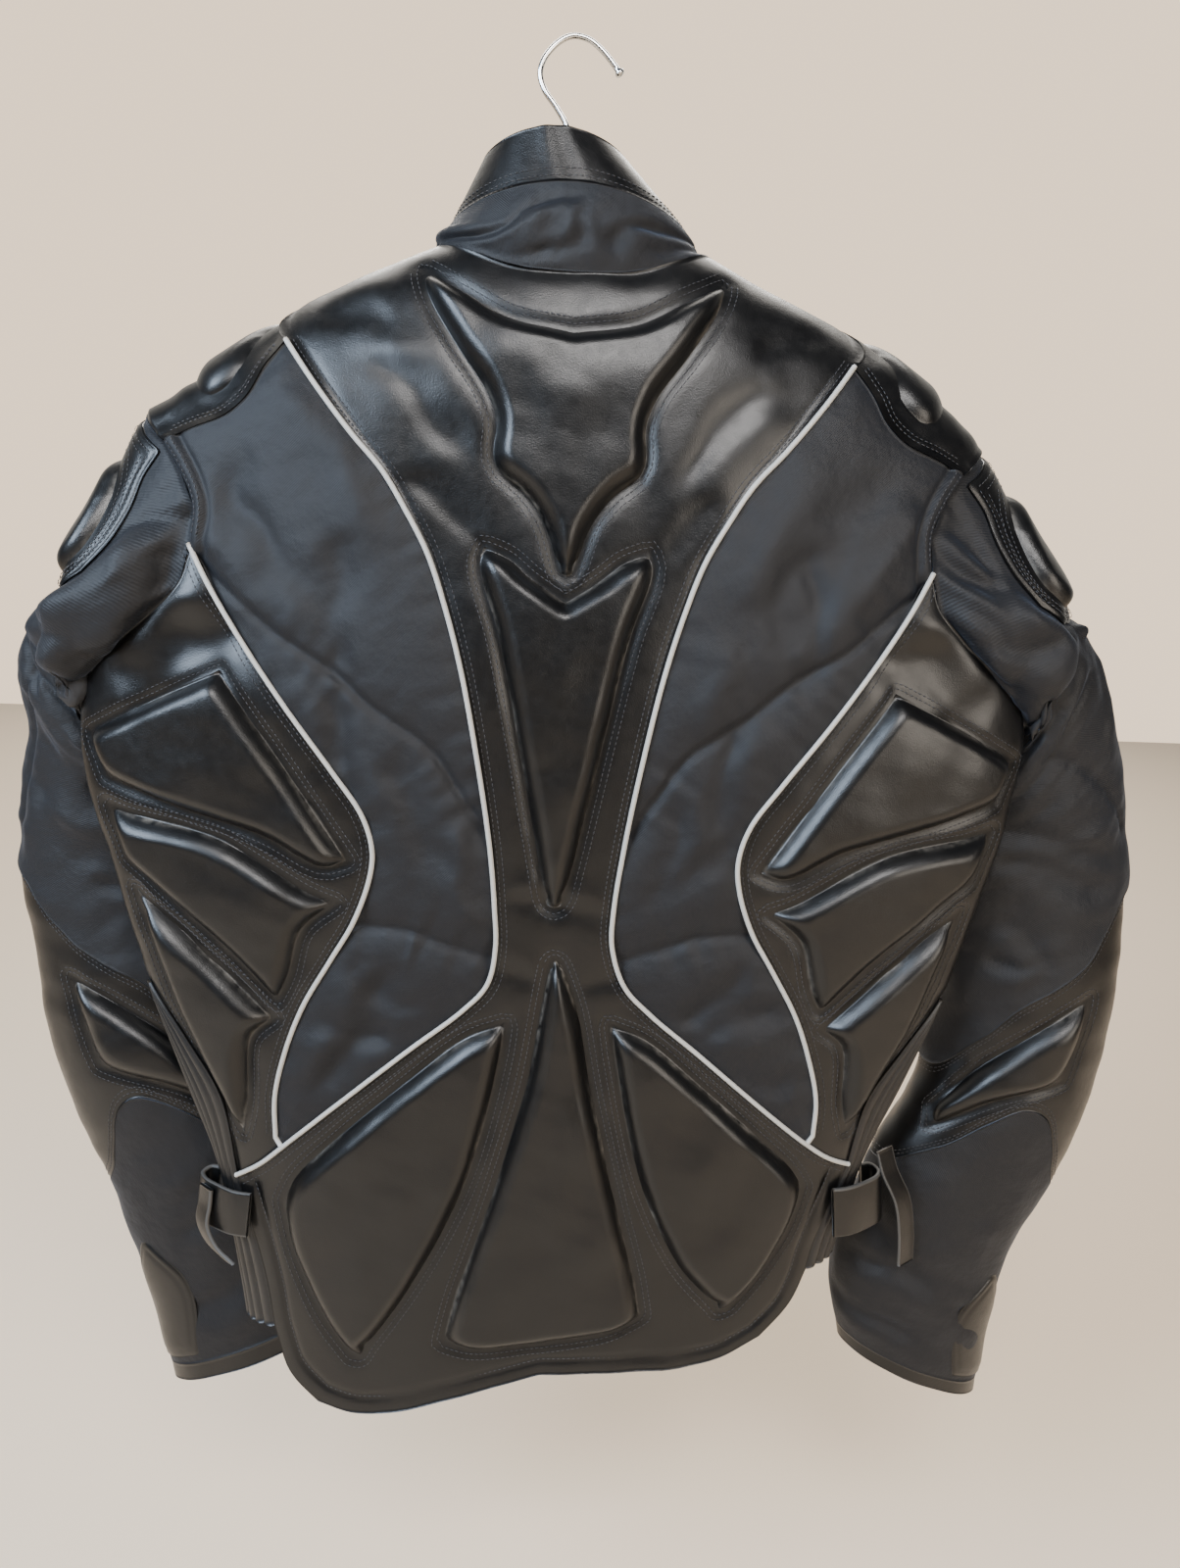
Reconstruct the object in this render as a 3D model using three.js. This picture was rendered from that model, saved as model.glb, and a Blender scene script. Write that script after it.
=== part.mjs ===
// A leather and textile motorcycle jacket, zipped up and hanging on a wire hanger.
// Millimetres, +Z up. The origin is the point where the hanger's hook bears on its peg. The back of
// the jacket faces -Y and the wearer's right side is at +X. `drop` is a distance below the origin.
//
// The body is a stack of closed sections, one for each row of BODY. A place on it is (turn, drop):
// turn is 0 at the centre back, 1 and -1 at the sides, and 2 and -2 at the centre front.
// A sleeve is a stack of rings, one for each row of SLEEVES. A place on it is (around, along):
// around is in degrees from the outer edge towards the back, and along counts the rings.
import * as THREE from 'three';

// ---------------------------------------------------------------- driving dimensions
const WALL = { leather: 2.0, textile: 2.6, rib: 2.2, collar: 2.4 };
const SEAM_GAP = 0.3;
const GARMENT_X = 4;             // the hanger hook stands this far off the jacket's middle
const FRONT_HEM = 804;           // drop of the front hem, the tail hangs lower
const WAIST_SEAM = { x: 207, drop: 712 };
const ZIP_HALF = 7;              // half the width of the zip between the fronts
const PAD_HEIGHT = 9;
const SHOULDER_PAD = { height: 5.5, lift: 1.3 };
const PAD_LIFT = 0.9;            // clear of the panel's facets below
const PAD_RIM = 2.2;             // height of a pad's edge
const PATCH = { lift: 1.2, thick: 1.6 };     // leather laid over a sleeve
const CAP_LIFT = { right: { cap: 3, pad: 1.6 }, left: { cap: 5.6, pad: 2.8 } };
const PIPING_RADIUS = 1.6;
const WIRE_RADIUS = 1.7;

// half: half the width. side: y of the side seam. back, front: y at the middle.
// backRound, frontRound: exponents of the section, 2 is an ellipse and more is squarer.
const BODY = [
  { drop: 112, half: 72, side: 0, back: -36, front: 40, backRound: 2.2, frontRound: 2.1 },
  { drop: 121, half: 81, side: 0, back: -40, front: 45, backRound: 2.2, frontRound: 2.1 },
  { drop: 140, half: 125, side: 0, back: -47, front: 50, backRound: 2.2, frontRound: 2.1 },
  { drop: 155, half: 158, side: 0, back: -52, front: 53, backRound: 2.25, frontRound: 2.1 },
  { drop: 172, half: 187, side: -1, back: -56, front: 55, backRound: 2.3, frontRound: 2.1 },
  { drop: 195, half: 222, side: -2, back: -60, front: 57, backRound: 2.35, frontRound: 2.1 },
  { drop: 224, half: 259, side: -3, back: -62, front: 58, backRound: 2.4, frontRound: 2.0 },
  { drop: 265, half: 275, side: -5, back: -64, front: 59, backRound: 2.5, frontRound: 1.9 },
  { drop: 320, half: 289, side: -9, back: -66, front: 60, backRound: 2.6, frontRound: 1.8 },
  { drop: 396, half: 303, side: -14, back: -66, front: 60, backRound: 2.7, frontRound: 1.65 },
  { drop: 460, half: 299, side: -19, back: -63, front: 59, backRound: 2.7, frontRound: 1.6 },
  { drop: 520, half: 284, side: -20, back: -60, front: 56, backRound: 2.7, frontRound: 1.6 },
  { drop: 590, half: 266, side: -18, back: -57, front: 52, backRound: 2.7, frontRound: 1.7 },
  { drop: 650, half: 246, side: -15, back: -58, front: 46, backRound: 2.7, frontRound: 1.7 },
  { drop: 715, half: 223, side: -13, back: -60, front: 38, backRound: 2.7, frontRound: 1.7 },
  { drop: 770, half: 212, side: -13, back: -62, front: 33, backRound: 2.7, frontRound: 1.7 },
  { drop: 812, half: 205, side: -14, back: -64, front: 30, backRound: 2.7, frontRound: 1.7 },
  { drop: 900, half: 198, side: -16, back: -66, front: 28, backRound: 2.7, frontRound: 1.7 },
];

// How the hanging jacket has settled: lean moves its middle sideways, shear lowers its left.
const SETTLE = [
  { drop: 100, lean: 0, shear: 0 },
  { drop: 480, lean: 0, shear: 0 },
  { drop: 540, lean: 0, shear: 0 },
  { drop: 600, lean: 6, shear: 0 },
  { drop: 700, lean: 7, shear: 0.03 },
  { drop: 760, lean: 5, shear: 0.08 },
  { drop: 820, lean: 1, shear: 0.15 },
  { drop: 880, lean: 0, shear: 0.2 },
];
const LEAN_REACH = 170;

// Outer and inner edge of each ring: x, y and drop. deep: half the ring's depth.
const SLEEVES = {
  right: [
    { outX: 301, outY: 0, out: 287, inX: 309, inY: -19, in: 401, deep: 43 },
    { outX: 326, outY: 7, out: 316, inX: 306, inY: 2, in: 420, deep: 42 },
    { outX: 351, outY: 12, out: 348, inX: 299, inY: 14, in: 441, deep: 41 },
    { outX: 375, outY: 17, out: 390, inX: 287, inY: 22, in: 467, deep: 40 },
    { outX: 393, outY: 22, out: 438, inX: 277, inY: 28, in: 497, deep: 40 },
    { outX: 405, outY: 25, out: 489, inX: 276, inY: 31, in: 527, deep: 40 },
    { outX: 410, outY: 27, out: 545, inX: 281, inY: 32, in: 562, deep: 41 },
    { outX: 413, outY: 28, out: 600, inX: 284, inY: 31, in: 602, deep: 42 },
    { outX: 408, outY: 28, out: 655, inX: 281, inY: 30, in: 642, deep: 41 },
    { outX: 396, outY: 26, out: 707, inX: 268, inY: 26, in: 682, deep: 40 },
    { outX: 372, outY: 24, out: 760, inX: 246, inY: 23, in: 722, deep: 38 },
    { outX: 350, outY: 20, out: 811, inX: 229, inY: 20, in: 772, deep: 36 },
    { outX: 341, outY: 17, out: 862, inX: 219, inY: 17, in: 822, deep: 33 },
    { outX: 336, outY: 15, out: 916, inX: 228, inY: 15, in: 874, deep: 29 },
  ],
  left: [
    { outX: 291, outY: 0, out: 290, inX: 310, inY: -19, in: 401, deep: 42 },
    { outX: 306, outY: 9, out: 321, inX: 308, inY: 5, in: 421, deep: 38 },
    { outX: 333, outY: 16, out: 347, inX: 298, inY: 22, in: 443, deep: 35 },
    { outX: 357, outY: 22, out: 380, inX: 277, inY: 34, in: 467, deep: 36 },
    { outX: 358, outY: 30, out: 425, inX: 259, inY: 43, in: 492, deep: 34 },
    { outX: 368, outY: 36, out: 482, inX: 249, inY: 47, in: 519, deep: 33 },
    { outX: 373, outY: 39, out: 535, inX: 246, inY: 47, in: 549, deep: 33 },
    { outX: 367, outY: 39, out: 590, inX: 242, inY: 45, in: 585, deep: 34 },
    { outX: 361, outY: 37, out: 642, inX: 235, inY: 41, in: 627, deep: 34 },
    { outX: 345, outY: 34, out: 702, inX: 222, inY: 36, in: 670, deep: 33 },
    { outX: 323, outY: 34, out: 754, inX: 203, inY: 38, in: 711, deep: 30 },
    { outX: 306, outY: 33, out: 806, inX: 187, inY: 39, in: 757, deep: 28 },
    { outX: 290, outY: 31, out: 860, inX: 172, inY: 37, in: 812, deep: 26 },
    { outX: 275, outY: 28, out: 922, inX: 165, inY: 33, in: 884, deep: 25 },
  ],
};
// Where the elbow leather starts and ends along a sleeve. shift moves it down on one sleeve.
const ELBOW = [
  { around: 0, top: 6.5, low: 11.1 },
  { around: 36, top: 6.8, low: 10.8 },
  { around: 54, top: 7.2, low: 10.4 },
  { around: 72, top: 7.6, low: 9.9 },
  { around: 90, top: 7.9, low: 9.8 },
  { around: 108, top: 8.2, low: 10.15 },
  { around: 126, top: 8.7, low: 10.7 },
  { around: 162, top: 9.5, low: 11.3 },
  { around: 234, top: 9.0, low: 11.1 },
  { around: 306, top: 7.4, low: 11.0 },
  { around: 360, top: 6.5, low: 11.1 },
];
const ELBOW_SHIFT = { right: -0.2, left: 0.2 };
const AROUND_STEPS = 20;
const CUFF_BAND = 13.8;          // along a sleeve, where the cuff band starts
const SLEEVE_END = 14;

// Seam lines of one half of the body. The other half mirrors them.
const LINES = {
  neckBack: [
    { x: 81, drop: 121 }, { x: 60, drop: 132 }, { x: 33, drop: 141 }, { x: 0, drop: 143 },
  ],
  patchBack: [
    { x: 168, drop: 187 }, { x: 180, drop: 203 }, { x: 189, drop: 219 }, { x: 203, drop: 231 },
    { x: 222, drop: 238 }, { x: 242, drop: 246 },
  ],
  armUpper: [
    { x: 242, drop: 246 }, { x: 230, drop: 264 }, { x: 222, drop: 283 }, { x: 224, drop: 306 },
  ],
  armLower: [
    { x: 224, drop: 306 }, { x: 230, drop: 328 }, { x: 246, drop: 345 }, { x: 270, drop: 366 },
    { x: 303.5, drop: 396 },
  ],
  pipingLong: [
    { x: 168, drop: 187 }, { x: 148, drop: 214 }, { x: 127, drop: 240 }, { x: 109, drop: 260 },
    { x: 95, drop: 282 }, { x: 82, drop: 306 }, { x: 72, drop: 334 }, { x: 61, drop: 374 },
    { x: 50, drop: 430 }, { x: 42, drop: 480 }, { x: 37.5, drop: 522 }, { x: 37, drop: 548 },
    { x: 44, drop: 574 }, { x: 60, drop: 592 }, { x: 94, drop: 620 }, { x: 135, drop: 655 },
    { x: 172, drop: 687 },
  ],
  pipingTail: [{ x: 172, drop: 687 }, { x: 189, drop: 701 }, WAIST_SEAM],
  pipingShort: [
    { x: 224, drop: 306 }, { x: 211, drop: 331 }, { x: 190, drop: 365 }, { x: 167, drop: 399 },
    { x: 138, drop: 439 }, { x: 120, drop: 466 }, { x: 114, drop: 488 }, { x: 116, drop: 507 },
    { x: 126, drop: 535 }, { x: 141, drop: 561 }, { x: 159, drop: 593 }, { x: 171, drop: 625 },
    { x: 178, drop: 655 }, { x: 178, drop: 682 },
  ],
  ribBack: [
    { x: 264, drop: 588 }, { x: 238, drop: 624 }, { x: 216, drop: 660 }, WAIST_SEAM,
  ],
  tailSeam: [WAIST_SEAM, { x: 195, drop: 748 }, { x: 187, drop: 776 }, { x: 181, drop: FRONT_HEM }],
  tailEdge: [
    { x: 181, drop: FRONT_HEM }, { x: 171, drop: 830 }, { x: 150, drop: 851 },
  ],
  tailHem: [
    { x: 150, drop: 851 }, { x: 125, drop: 860 }, { x: 98, drop: 862 }, { x: 60, drop: 857 },
    { x: 0, drop: 849 },
  ],
};

// ---------------------------------------------------------------- tables and curves
/** The value of a table's column at a place between its rows, on a smooth curve. */
function smoothColumn(table, by, name, at) {
  const last = table.length - 1;
  if (at <= table[0][by]) return table[0][name];
  if (at >= table[last][by]) return table[last][name];
  let i = 0;
  while (at > table[i + 1][by]) i += 1;
  const slope = (k) => {
    const from = table[Math.max(k - 1, 0)];
    const to = table[Math.min(k + 1, last)];
    return (to[name] - from[name]) / (to[by] - from[by]);
  };
  const span = table[i + 1][by] - table[i][by];
  const t = (at - table[i][by]) / span;
  const [t2, t3] = [t * t, t * t * t];
  return (2 * t3 - 3 * t2 + 1) * table[i][name] + (t3 - 2 * t2 + t) * span * slope(i)
    + (3 * t2 - 2 * t3) * table[i + 1][name] + (t3 - t2) * span * slope(i + 1);
}

/** A smooth line through [u, v] points, cut into equal steps. */
function steps(points, count) {
  const knots = points.map(([u, v]) => new THREE.Vector3(u, v, 0));
  const line = knots.length === 2 ? new THREE.LineCurve3(...knots)
    : new THREE.CatmullRomCurve3(knots, false, 'centripetal');
  return line.getSpacedPoints(count).map((p) => [p.x, p.y]);
}

/** Lines joined end to end, without the doubled points. */
const joinLines = (...lines) => lines.reduce((all, line) => [...all, ...line.slice(1)]);

// ---------------------------------------------------------------- the body's surface
const body = (name, drop) => smoothColumn(BODY, 'drop', name, drop);
const settle = (name, drop) => smoothColumn(SETTLE, 'drop', name, drop);

/** The x of a section at a turn, before the jacket settles. */
function sectionX(turn, drop) {
  const angle = turn * Math.PI / 2;
  const power = 2 / body(Math.cos(angle) >= 0 ? 'backRound' : 'frontRound', drop);
  return body('half', drop) * Math.sign(Math.sin(angle)) * Math.abs(Math.sin(angle)) ** power;
}

/** The point of the body at a turn and a drop. */
function bodyPoint(turn, drop) {
  const c = Math.cos(turn * Math.PI / 2);
  const power = 2 / body(c >= 0 ? 'backRound' : 'frontRound', drop);
  const side = body('side', drop);
  const middle = body(c >= 0 ? 'back' : 'front', drop);
  const x = sectionX(turn, drop);
  const y = side + (middle - side) * Math.abs(c) ** power;
  const lean = settle('lean', drop) * Math.max(0, 1 - Math.abs(x) / LEAN_REACH);
  return new THREE.Vector3(x + lean + GARMENT_X, y, settle('shear', drop) * x - drop);
}

/** The turn at which the body's back, or its front, has a given x. */
function turnAt(x, drop, onFront = false) {
  const share = Math.min(Math.abs(x) / body('half', drop), 1);
  const round = body(onFront ? 'frontRound' : 'backRound', drop);
  const turn = Math.asin(share ** (round / 2)) / (Math.PI / 2);
  return Math.sign(x || 1) * (onFront ? 2 - turn : turn);
}

/** A line of { x, drop } points cut into steps, as [turn, drop] places on the back or the front. */
function placesOn(points, count, onFront = false) {
  const places = steps(points.map((p) => [p.x, p.drop]), count);
  return places.map(([x, drop]) => [turnAt(x, drop, onFront), drop]);
}
const seam = (name, count, onFront = false) => placesOn(LINES[name], count, onFront);

// ---------------------------------------------------------------- the sleeves' surface
const ARM = { toPatch: 2, toPiping: 3, toSide: 5 };   // steps of half an armhole

/** One half of the armhole from the shoulder tip to the underarm, as [turn, drop] places. */
function armhole(onFront) {
  const tip = [1, 224];
  const [edgeTurn, edgeDrop] = [turnAt(242, 246, onFront), 246];
  const top = [tip, [(tip[0] + edgeTurn) / 2, 232], [edgeTurn, edgeDrop]];
  return joinLines(top, seam('armUpper', ARM.toPiping, onFront), seam('armLower', ARM.toSide, onFront));
}

const ARMHOLE = { back: armhole(false), front: armhole(true) };

/** The armhole's point at a number of steps around from the shoulder tip, back half first. */
function armholePoint(sign, step) {
  const half = AROUND_STEPS / 2;
  const wrapped = ((step % AROUND_STEPS) + AROUND_STEPS) % AROUND_STEPS;
  const line = wrapped <= half ? ARMHOLE.back : ARMHOLE.front;
  const place = wrapped <= half ? wrapped : AROUND_STEPS - wrapped;
  const low = Math.min(Math.floor(place), half - 1);
  const mix = place - low;
  const turn = line[low][0] * (1 - mix) + line[low + 1][0] * mix;
  const drop = line[low][1] * (1 - mix) + line[low + 1][1] * mix;
  return bodyPoint(sign * turn, drop);
}

/** The point of a ring, from a row of SLEEVES. */
function ringPoint(sign, row, around) {
  const angle = THREE.MathUtils.degToRad(around);
  const [c, s] = [Math.cos(angle), Math.sin(angle)];
  const mid = (a, b) => (a + b) / 2 + (a - b) / 2 * c;
  return new THREE.Vector3(
    sign * mid(row.outX, row.inX) + GARMENT_X,
    mid(row.outY, row.inY) - row.deep * s,
    -mid(row.out, row.in),
  );
}

/** The point at a place along a smooth line through the points ring(0) ... ring(last). */
function throughRings(ring, last, along) {
  const low = THREE.MathUtils.clamp(Math.floor(along), 0, last - 1);
  const t = along - low;
  const at = (k) => ring(THREE.MathUtils.clamp(k, 0, last));
  const [before, from, to, after] = [at(low - 1), at(low), at(low + 1), at(low + 2)];
  const slopeFrom = to.clone().sub(before).multiplyScalar(low === 0 ? 1 : 0.5);
  const slopeTo = after.clone().sub(from).multiplyScalar(low + 1 >= last ? 1 : 0.5);
  const [t2, t3] = [t * t, t * t * t];
  return new THREE.Vector3()
    .addScaledVector(from, 2 * t3 - 3 * t2 + 1)
    .addScaledVector(slopeFrom, t3 - 2 * t2 + t)
    .addScaledVector(to, 3 * t2 - 2 * t3)
    .addScaledVector(slopeTo, t3 - t2);
}

/** The point of a sleeve: ring 0 is the armhole and the others are rows of SLEEVES. */
function sleevePoint(side, around, along) {
  const sign = side === 'right' ? 1 : -1;
  const rows = SLEEVES[side];
  const ring = (k) => (k === 0 ? armholePoint(sign, around / (360 / AROUND_STEPS))
    : ringPoint(sign, rows[k - 1], around));
  return throughRings(ring, rows.length, along);
}

// ---------------------------------------------------------------- walls over a surface
/** A surface is { point(u, v), outward: 1 or -1 }: the sign of its normal du x dv. */
const BODY_SURFACE = { point: bodyPoint, outward: -1, du: 0.004, dv: 1 };
const sleeveSurface = (side) => ({
  point: (u, v) => sleevePoint(side, u, v), outward: side === 'right' ? 1 : -1, du: 2, dv: 0.05,
});

function normalAt(surface, u, v) {
  const { point, du, dv, outward } = surface;
  const across = point(u + du, v).sub(point(u - du, v));
  const down = point(u, v + dv).sub(point(u, v - dv));
  return across.cross(down).normalize().multiplyScalar(outward);
}

/** Places between four lines that meet at their ends: the first two run across, and their shape
 *  fades out over the rows near them. */
const END_FADE = 3;
function coons(top, bottom, left, right) {
  const [cols, rows] = [top.length - 1, left.length - 1];
  const share = (line, j) => {
    const width = line[cols][0] - line[0][0];
    return Math.abs(width) < 1e-6 ? j / cols : (line[j][0] - line[0][0]) / width;
  };
  return left.map((_, i) => top.map((__, j) => {
    const [s, t] = [j / cols, i / rows];
    const [nearTop, nearBottom] = [(1 - t) ** END_FADE, t ** END_FADE];
    const across = s + nearTop * (share(top, j) - s) + nearBottom * (share(bottom, j) - s);
    const topBow = top[j][1] - (1 - s) * top[0][1] - s * top[cols][1];
    const bottomBow = bottom[j][1] - (1 - s) * bottom[0][1] - s * bottom[cols][1];
    return [
      (1 - across) * left[i][0] + across * right[i][0],
      (1 - s) * left[i][1] + s * right[i][1] + nearTop * topBow + nearBottom * bottomBow,
    ];
  }));
}

/** Moves a sheet's rim points into the sheet by half a seam gap. A tube keeps its open rims. */
function insetRim(points, gap, closed) {
  const [rows, cols] = [points.length - 1, points[0].length - 1];
  const moves = points.map((row) => row.map(() => new THREE.Vector3()));
  const pull = (i, j, inI, inJ, alongA, alongB) => {
    const tangent = alongB.clone().sub(alongA).normalize();
    const inwards = points[inI][inJ].clone().sub(points[i][j]);
    inwards.addScaledVector(tangent, -inwards.dot(tangent)).normalize();
    moves[i][j].addScaledVector(inwards, gap);
  };
  for (let j = 0; j <= cols; j += 1) {
    const [a, b] = [Math.max(j - 1, 0), Math.min(j + 1, cols)];
    pull(0, j, 1, j, points[0][a], points[0][b]);
    pull(rows, j, rows - 1, j, points[rows][a], points[rows][b]);
  }
  if (!closed) {
    for (let i = 0; i <= rows; i += 1) {
      const [a, b] = [Math.max(i - 1, 0), Math.min(i + 1, rows)];
      pull(i, 0, i, 1, points[a][0], points[b][0]);
      pull(i, cols, i, cols - 1, points[a][cols], points[b][cols]);
    }
  }
  points.forEach((row, i) => row.forEach((p, j) => p.add(moves[i][j])));
  return moves;
}

/** A closed solid between an outer and an inner grid of points. */
function skin(outer, inner, closed = false) {
  const [rows, cols] = [outer.length, outer[0].length];
  const wrap = closed ? cols - 1 : cols;
  const flat = [...outer, ...inner].flatMap((row) => row.slice(0, wrap)).flatMap((p) => p.toArray());
  const at = (layer, i, j) => (layer * rows + i) * wrap + (j % wrap);
  const faces = [];
  const quad = (a, b, c, d) => faces.push(a, b, c, a, c, d);
  for (let i = 0; i < rows - 1; i += 1) {
    for (let j = 0; j < cols - 1; j += 1) {
      quad(at(0, i, j), at(0, i, j + 1), at(0, i + 1, j + 1), at(0, i + 1, j));
      quad(at(1, i, j), at(1, i + 1, j), at(1, i + 1, j + 1), at(1, i, j + 1));
    }
  }
  for (let j = 0; j < cols - 1; j += 1) {
    quad(at(0, 0, j), at(1, 0, j), at(1, 0, j + 1), at(0, 0, j + 1));
    quad(at(0, rows - 1, j), at(0, rows - 1, j + 1), at(1, rows - 1, j + 1), at(1, rows - 1, j));
  }
  for (let i = 0; i < rows - 1 && !closed; i += 1) {
    quad(at(0, i, 0), at(0, i + 1, 0), at(1, i + 1, 0), at(1, i, 0));
    quad(at(0, i, cols - 1), at(1, i, cols - 1), at(1, i + 1, cols - 1), at(0, i + 1, cols - 1));
  }
  return solidFrom(flat, faces);
}

/** An indexed geometry whose faces point outwards. */
function solidFrom(flat, faces) {
  const p = (i) => new THREE.Vector3().fromArray(flat, 3 * i);
  let volume = 0;
  for (let k = 0; k < faces.length; k += 3) {
    volume += p(faces[k]).dot(p(faces[k + 1]).cross(p(faces[k + 2])));
  }
  const indices = [...faces];
  for (let k = 0; k < indices.length && volume < 0; k += 3) {
    [indices[k + 1], indices[k + 2]] = [indices[k + 2], indices[k + 1]];
  }
  const geometry = new THREE.BufferGeometry();
  geometry.setAttribute('position', new THREE.Float32BufferAttribute(flat, 3));
  geometry.setIndex(indices);
  geometry.computeVertexNormals();
  return geometry;
}

/** A cloth wall over a grid of places. relief(point, row, col) raises its outside inside the rim. */
function wall(surface, grid, { thick, lift = 0, gap = SEAM_GAP / 2, closed = false, relief = null }) {
  const outer = grid.map((row) => row.map(([u, v]) => surface.point(u, v)));
  const plain = outer.map((row) => row.map((p) => p.clone()));
  const moves = insetRim(outer, gap, closed);
  const inner = outer.map((row) => row.map((p) => p.clone()));
  grid.forEach((row, i) => row.forEach(([u, v], j) => {
    const normal = normalAt(surface, u, v);
    const onRim = i === 0 || i === grid.length - 1 || (!closed && (j === 0 || j === row.length - 1));
    const raised = relief && !onRim ? relief(plain[i][j], i, j) : 0;
    outer[i][j].addScaledVector(normal, lift + raised);
    inner[i][j].addScaledVector(normal, lift - thick);
  }));
  return { geometry: skin(outer, inner, closed), moves };
}

/** A raised pad over a grid of places: its rim is low and its middle stands up. */
function pad(surface, grid, height = PAD_HEIGHT, lift = PAD_LIFT) {
  const [rows, cols] = [grid.length - 1, grid[0].length - 1];
  const outer = [];
  const inner = [];
  grid.forEach((row, i) => {
    outer.push([]);
    inner.push([]);
    row.forEach(([u, v], j) => {
      const onRim = i === 0 || j === 0 || i === rows || j === cols;
      const normal = normalAt(surface, u, v);
      const foot = surface.point(u, v).addScaledVector(normal, lift);
      inner[i].push(foot);
      outer[i].push(foot.clone().addScaledVector(normal, onRim ? PAD_RIM : height));
    });
  });
  return skin(outer, inner);
}

/** A closed solid through rings of points, with flat ends. */
function loft(rings) {
  const count = rings[0].length;
  const flat = rings.flat().flatMap((p) => p.toArray());
  const faces = [];
  for (let i = 0; i < rings.length - 1; i += 1) {
    for (let j = 0; j < count; j += 1) {
      const [a, b] = [i * count + j, i * count + ((j + 1) % count)];
      faces.push(a, b, b + count, a, b + count, a + count);
    }
  }
  const end = (rings.length - 1) * count;
  for (let j = 1; j < count - 1; j += 1) {
    faces.push(0, j + 1, j, end, end + j, end + j + 1);
  }
  return solidFrom(flat, faces);
}

/** Piping along a line of places, its middle lifted off the surface. */
function piping(surface, line, radius, lift, sides = 6) {
  const centres = line.map(([u, v]) => surface.point(u, v));
  const rings = line.map(([u, v], i) => {
    const normal = normalAt(surface, u, v);
    const [a, b] = [centres[Math.max(i - 1, 0)], centres[Math.min(i + 1, line.length - 1)]];
    const along = b.clone().sub(a).normalize();
    const across = along.clone().cross(normal).normalize();
    const middle = centres[i].clone().addScaledVector(normal, lift);
    return Array.from({ length: sides }, (_, k) => {
      const angle = (2 * Math.PI * (k + 0.5)) / sides;
      return middle.clone().addScaledVector(across, radius * Math.cos(angle))
        .addScaledVector(normal, radius * Math.sin(angle));
    });
  });
  return loft(rings);
}

// ---------------------------------------------------------------- materials and the group
const finish = (color, roughness, metalness = 0) => new THREE.MeshStandardMaterial(
  { color, roughness, metalness });
const MATERIALS = {
  leather: finish(0x1d1c1c, 0.42),
  textile: finish(0x24242a, 0.75),
  piping: finish(0xd9d6cc, 0.5),
  chrome: finish(0xc9c9c6, 0.2, 1),
  hangerPlastic: finish(0x1a1a1b, 0.5),
  zipMetal: finish(0x3a3a3c, 0.35, 1),
};

const jacket = new THREE.Group();
function add(name, material, geometry) {
  const mesh = new THREE.Mesh(geometry, MATERIALS[material]);
  mesh.name = name;
  jacket.add(mesh);
}

const SIDES = [['right', 1], ['left', -1]];
const mirror = (line, sign) => line.map(([turn, drop]) => [sign * turn, drop]);

/** Places of a panel of the back between four lines, shared out by x and not by turn. */
function backPlaces(...lines) {
  const flat = lines.map((line) => line.map(([turn, drop]) => [sectionX(turn, drop), drop]));
  return coons(...flat).map((row) => row.map(([x, drop]) => [turnAt(x, drop), drop]));
}

// ---------------------------------------------------------------- body panels
const RIDGE = [[1, 121], [1, 131], [1, 143], [1, 155]];
const RIDGE_STEPS = RIDGE.length - 1;
const PIPING_STEPS = 14;
const SEAM_STEPS = { pipingTail: 2, tailSeam: 3, tailEdge: 2, side: 7 };
const COLS = { back: 12, textile: 7, front: 5 };

/** The shoulder patch's inner edge, from the ridge down to the patch line. */
const patchInner = (onFront) => steps([[1, 155], [turnAt(168, 187, onFront), 187]], 2);
const pipingLongLine = seam('pipingLong', ARM.toPiping + PIPING_STEPS);
const pipingShortLine = seam('pipingShort', PIPING_STEPS);
const tailLine = joinLines(seam('tailSeam', SEAM_STEPS.tailSeam), seam('tailEdge', SEAM_STEPS.tailEdge));

/** A line of the right half followed to the left: mirrored and turned round. */
const acrossMiddle = (line) => joinLines(mirror(line, -1), [...line].reverse());

function backCentre() {
  const right = joinLines(RIDGE, patchInner(false), pipingLongLine,
    seam('pipingTail', SEAM_STEPS.pipingTail), tailLine);
  const top = acrossMiddle(seam('neckBack', COLS.back / 2));
  const bottom = acrossMiddle(seam('tailHem', COLS.back / 2));
  const grid = coons(top, bottom, mirror(right, -1), right);
  add('back_centre', 'leather', wall(BODY_SURFACE, grid, { thick: WALL.leather }).geometry);
}

function shoulderPatch(name, sign) {
  const inner = joinLines([...patchInner(false)].reverse(), patchInner(true));
  const outer = joinLines([...ARMHOLE.back.slice(0, ARM.toPatch + 1)].reverse(),
    ARMHOLE.front.slice(0, ARM.toPatch + 1));
  const grid = coons(seam('patchBack', COLS.textile), seam('patchBack', COLS.textile, true), inner, outer);
  const placed = grid.map((row) => mirror(row, sign));
  add(`shoulder_patch_${name}`, 'leather',
    wall(BODY_SURFACE, placed, { thick: WALL.leather, gap: 2 * SEAM_GAP }).geometry);
}

function backTextile(name, sign) {
  const right = joinLines(ARMHOLE.back.slice(ARM.toPatch, ARM.toPatch + ARM.toPiping + 1), pipingShortLine);
  const ends = [pipingLongLine[pipingLongLine.length - 1], pipingShortLine[PIPING_STEPS]];
  const grid = backPlaces(seam('patchBack', COLS.textile), steps(ends, COLS.textile), pipingLongLine, right);
  const placed = grid.map((row) => mirror(row, sign));
  const relief = (p) => quilt(p, sign);
  add(`back_textile_${name}`, 'textile',
    wall(BODY_SURFACE, placed, { thick: WALL.textile, relief, gap: 2 * SEAM_GAP }).geometry);
}

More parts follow.
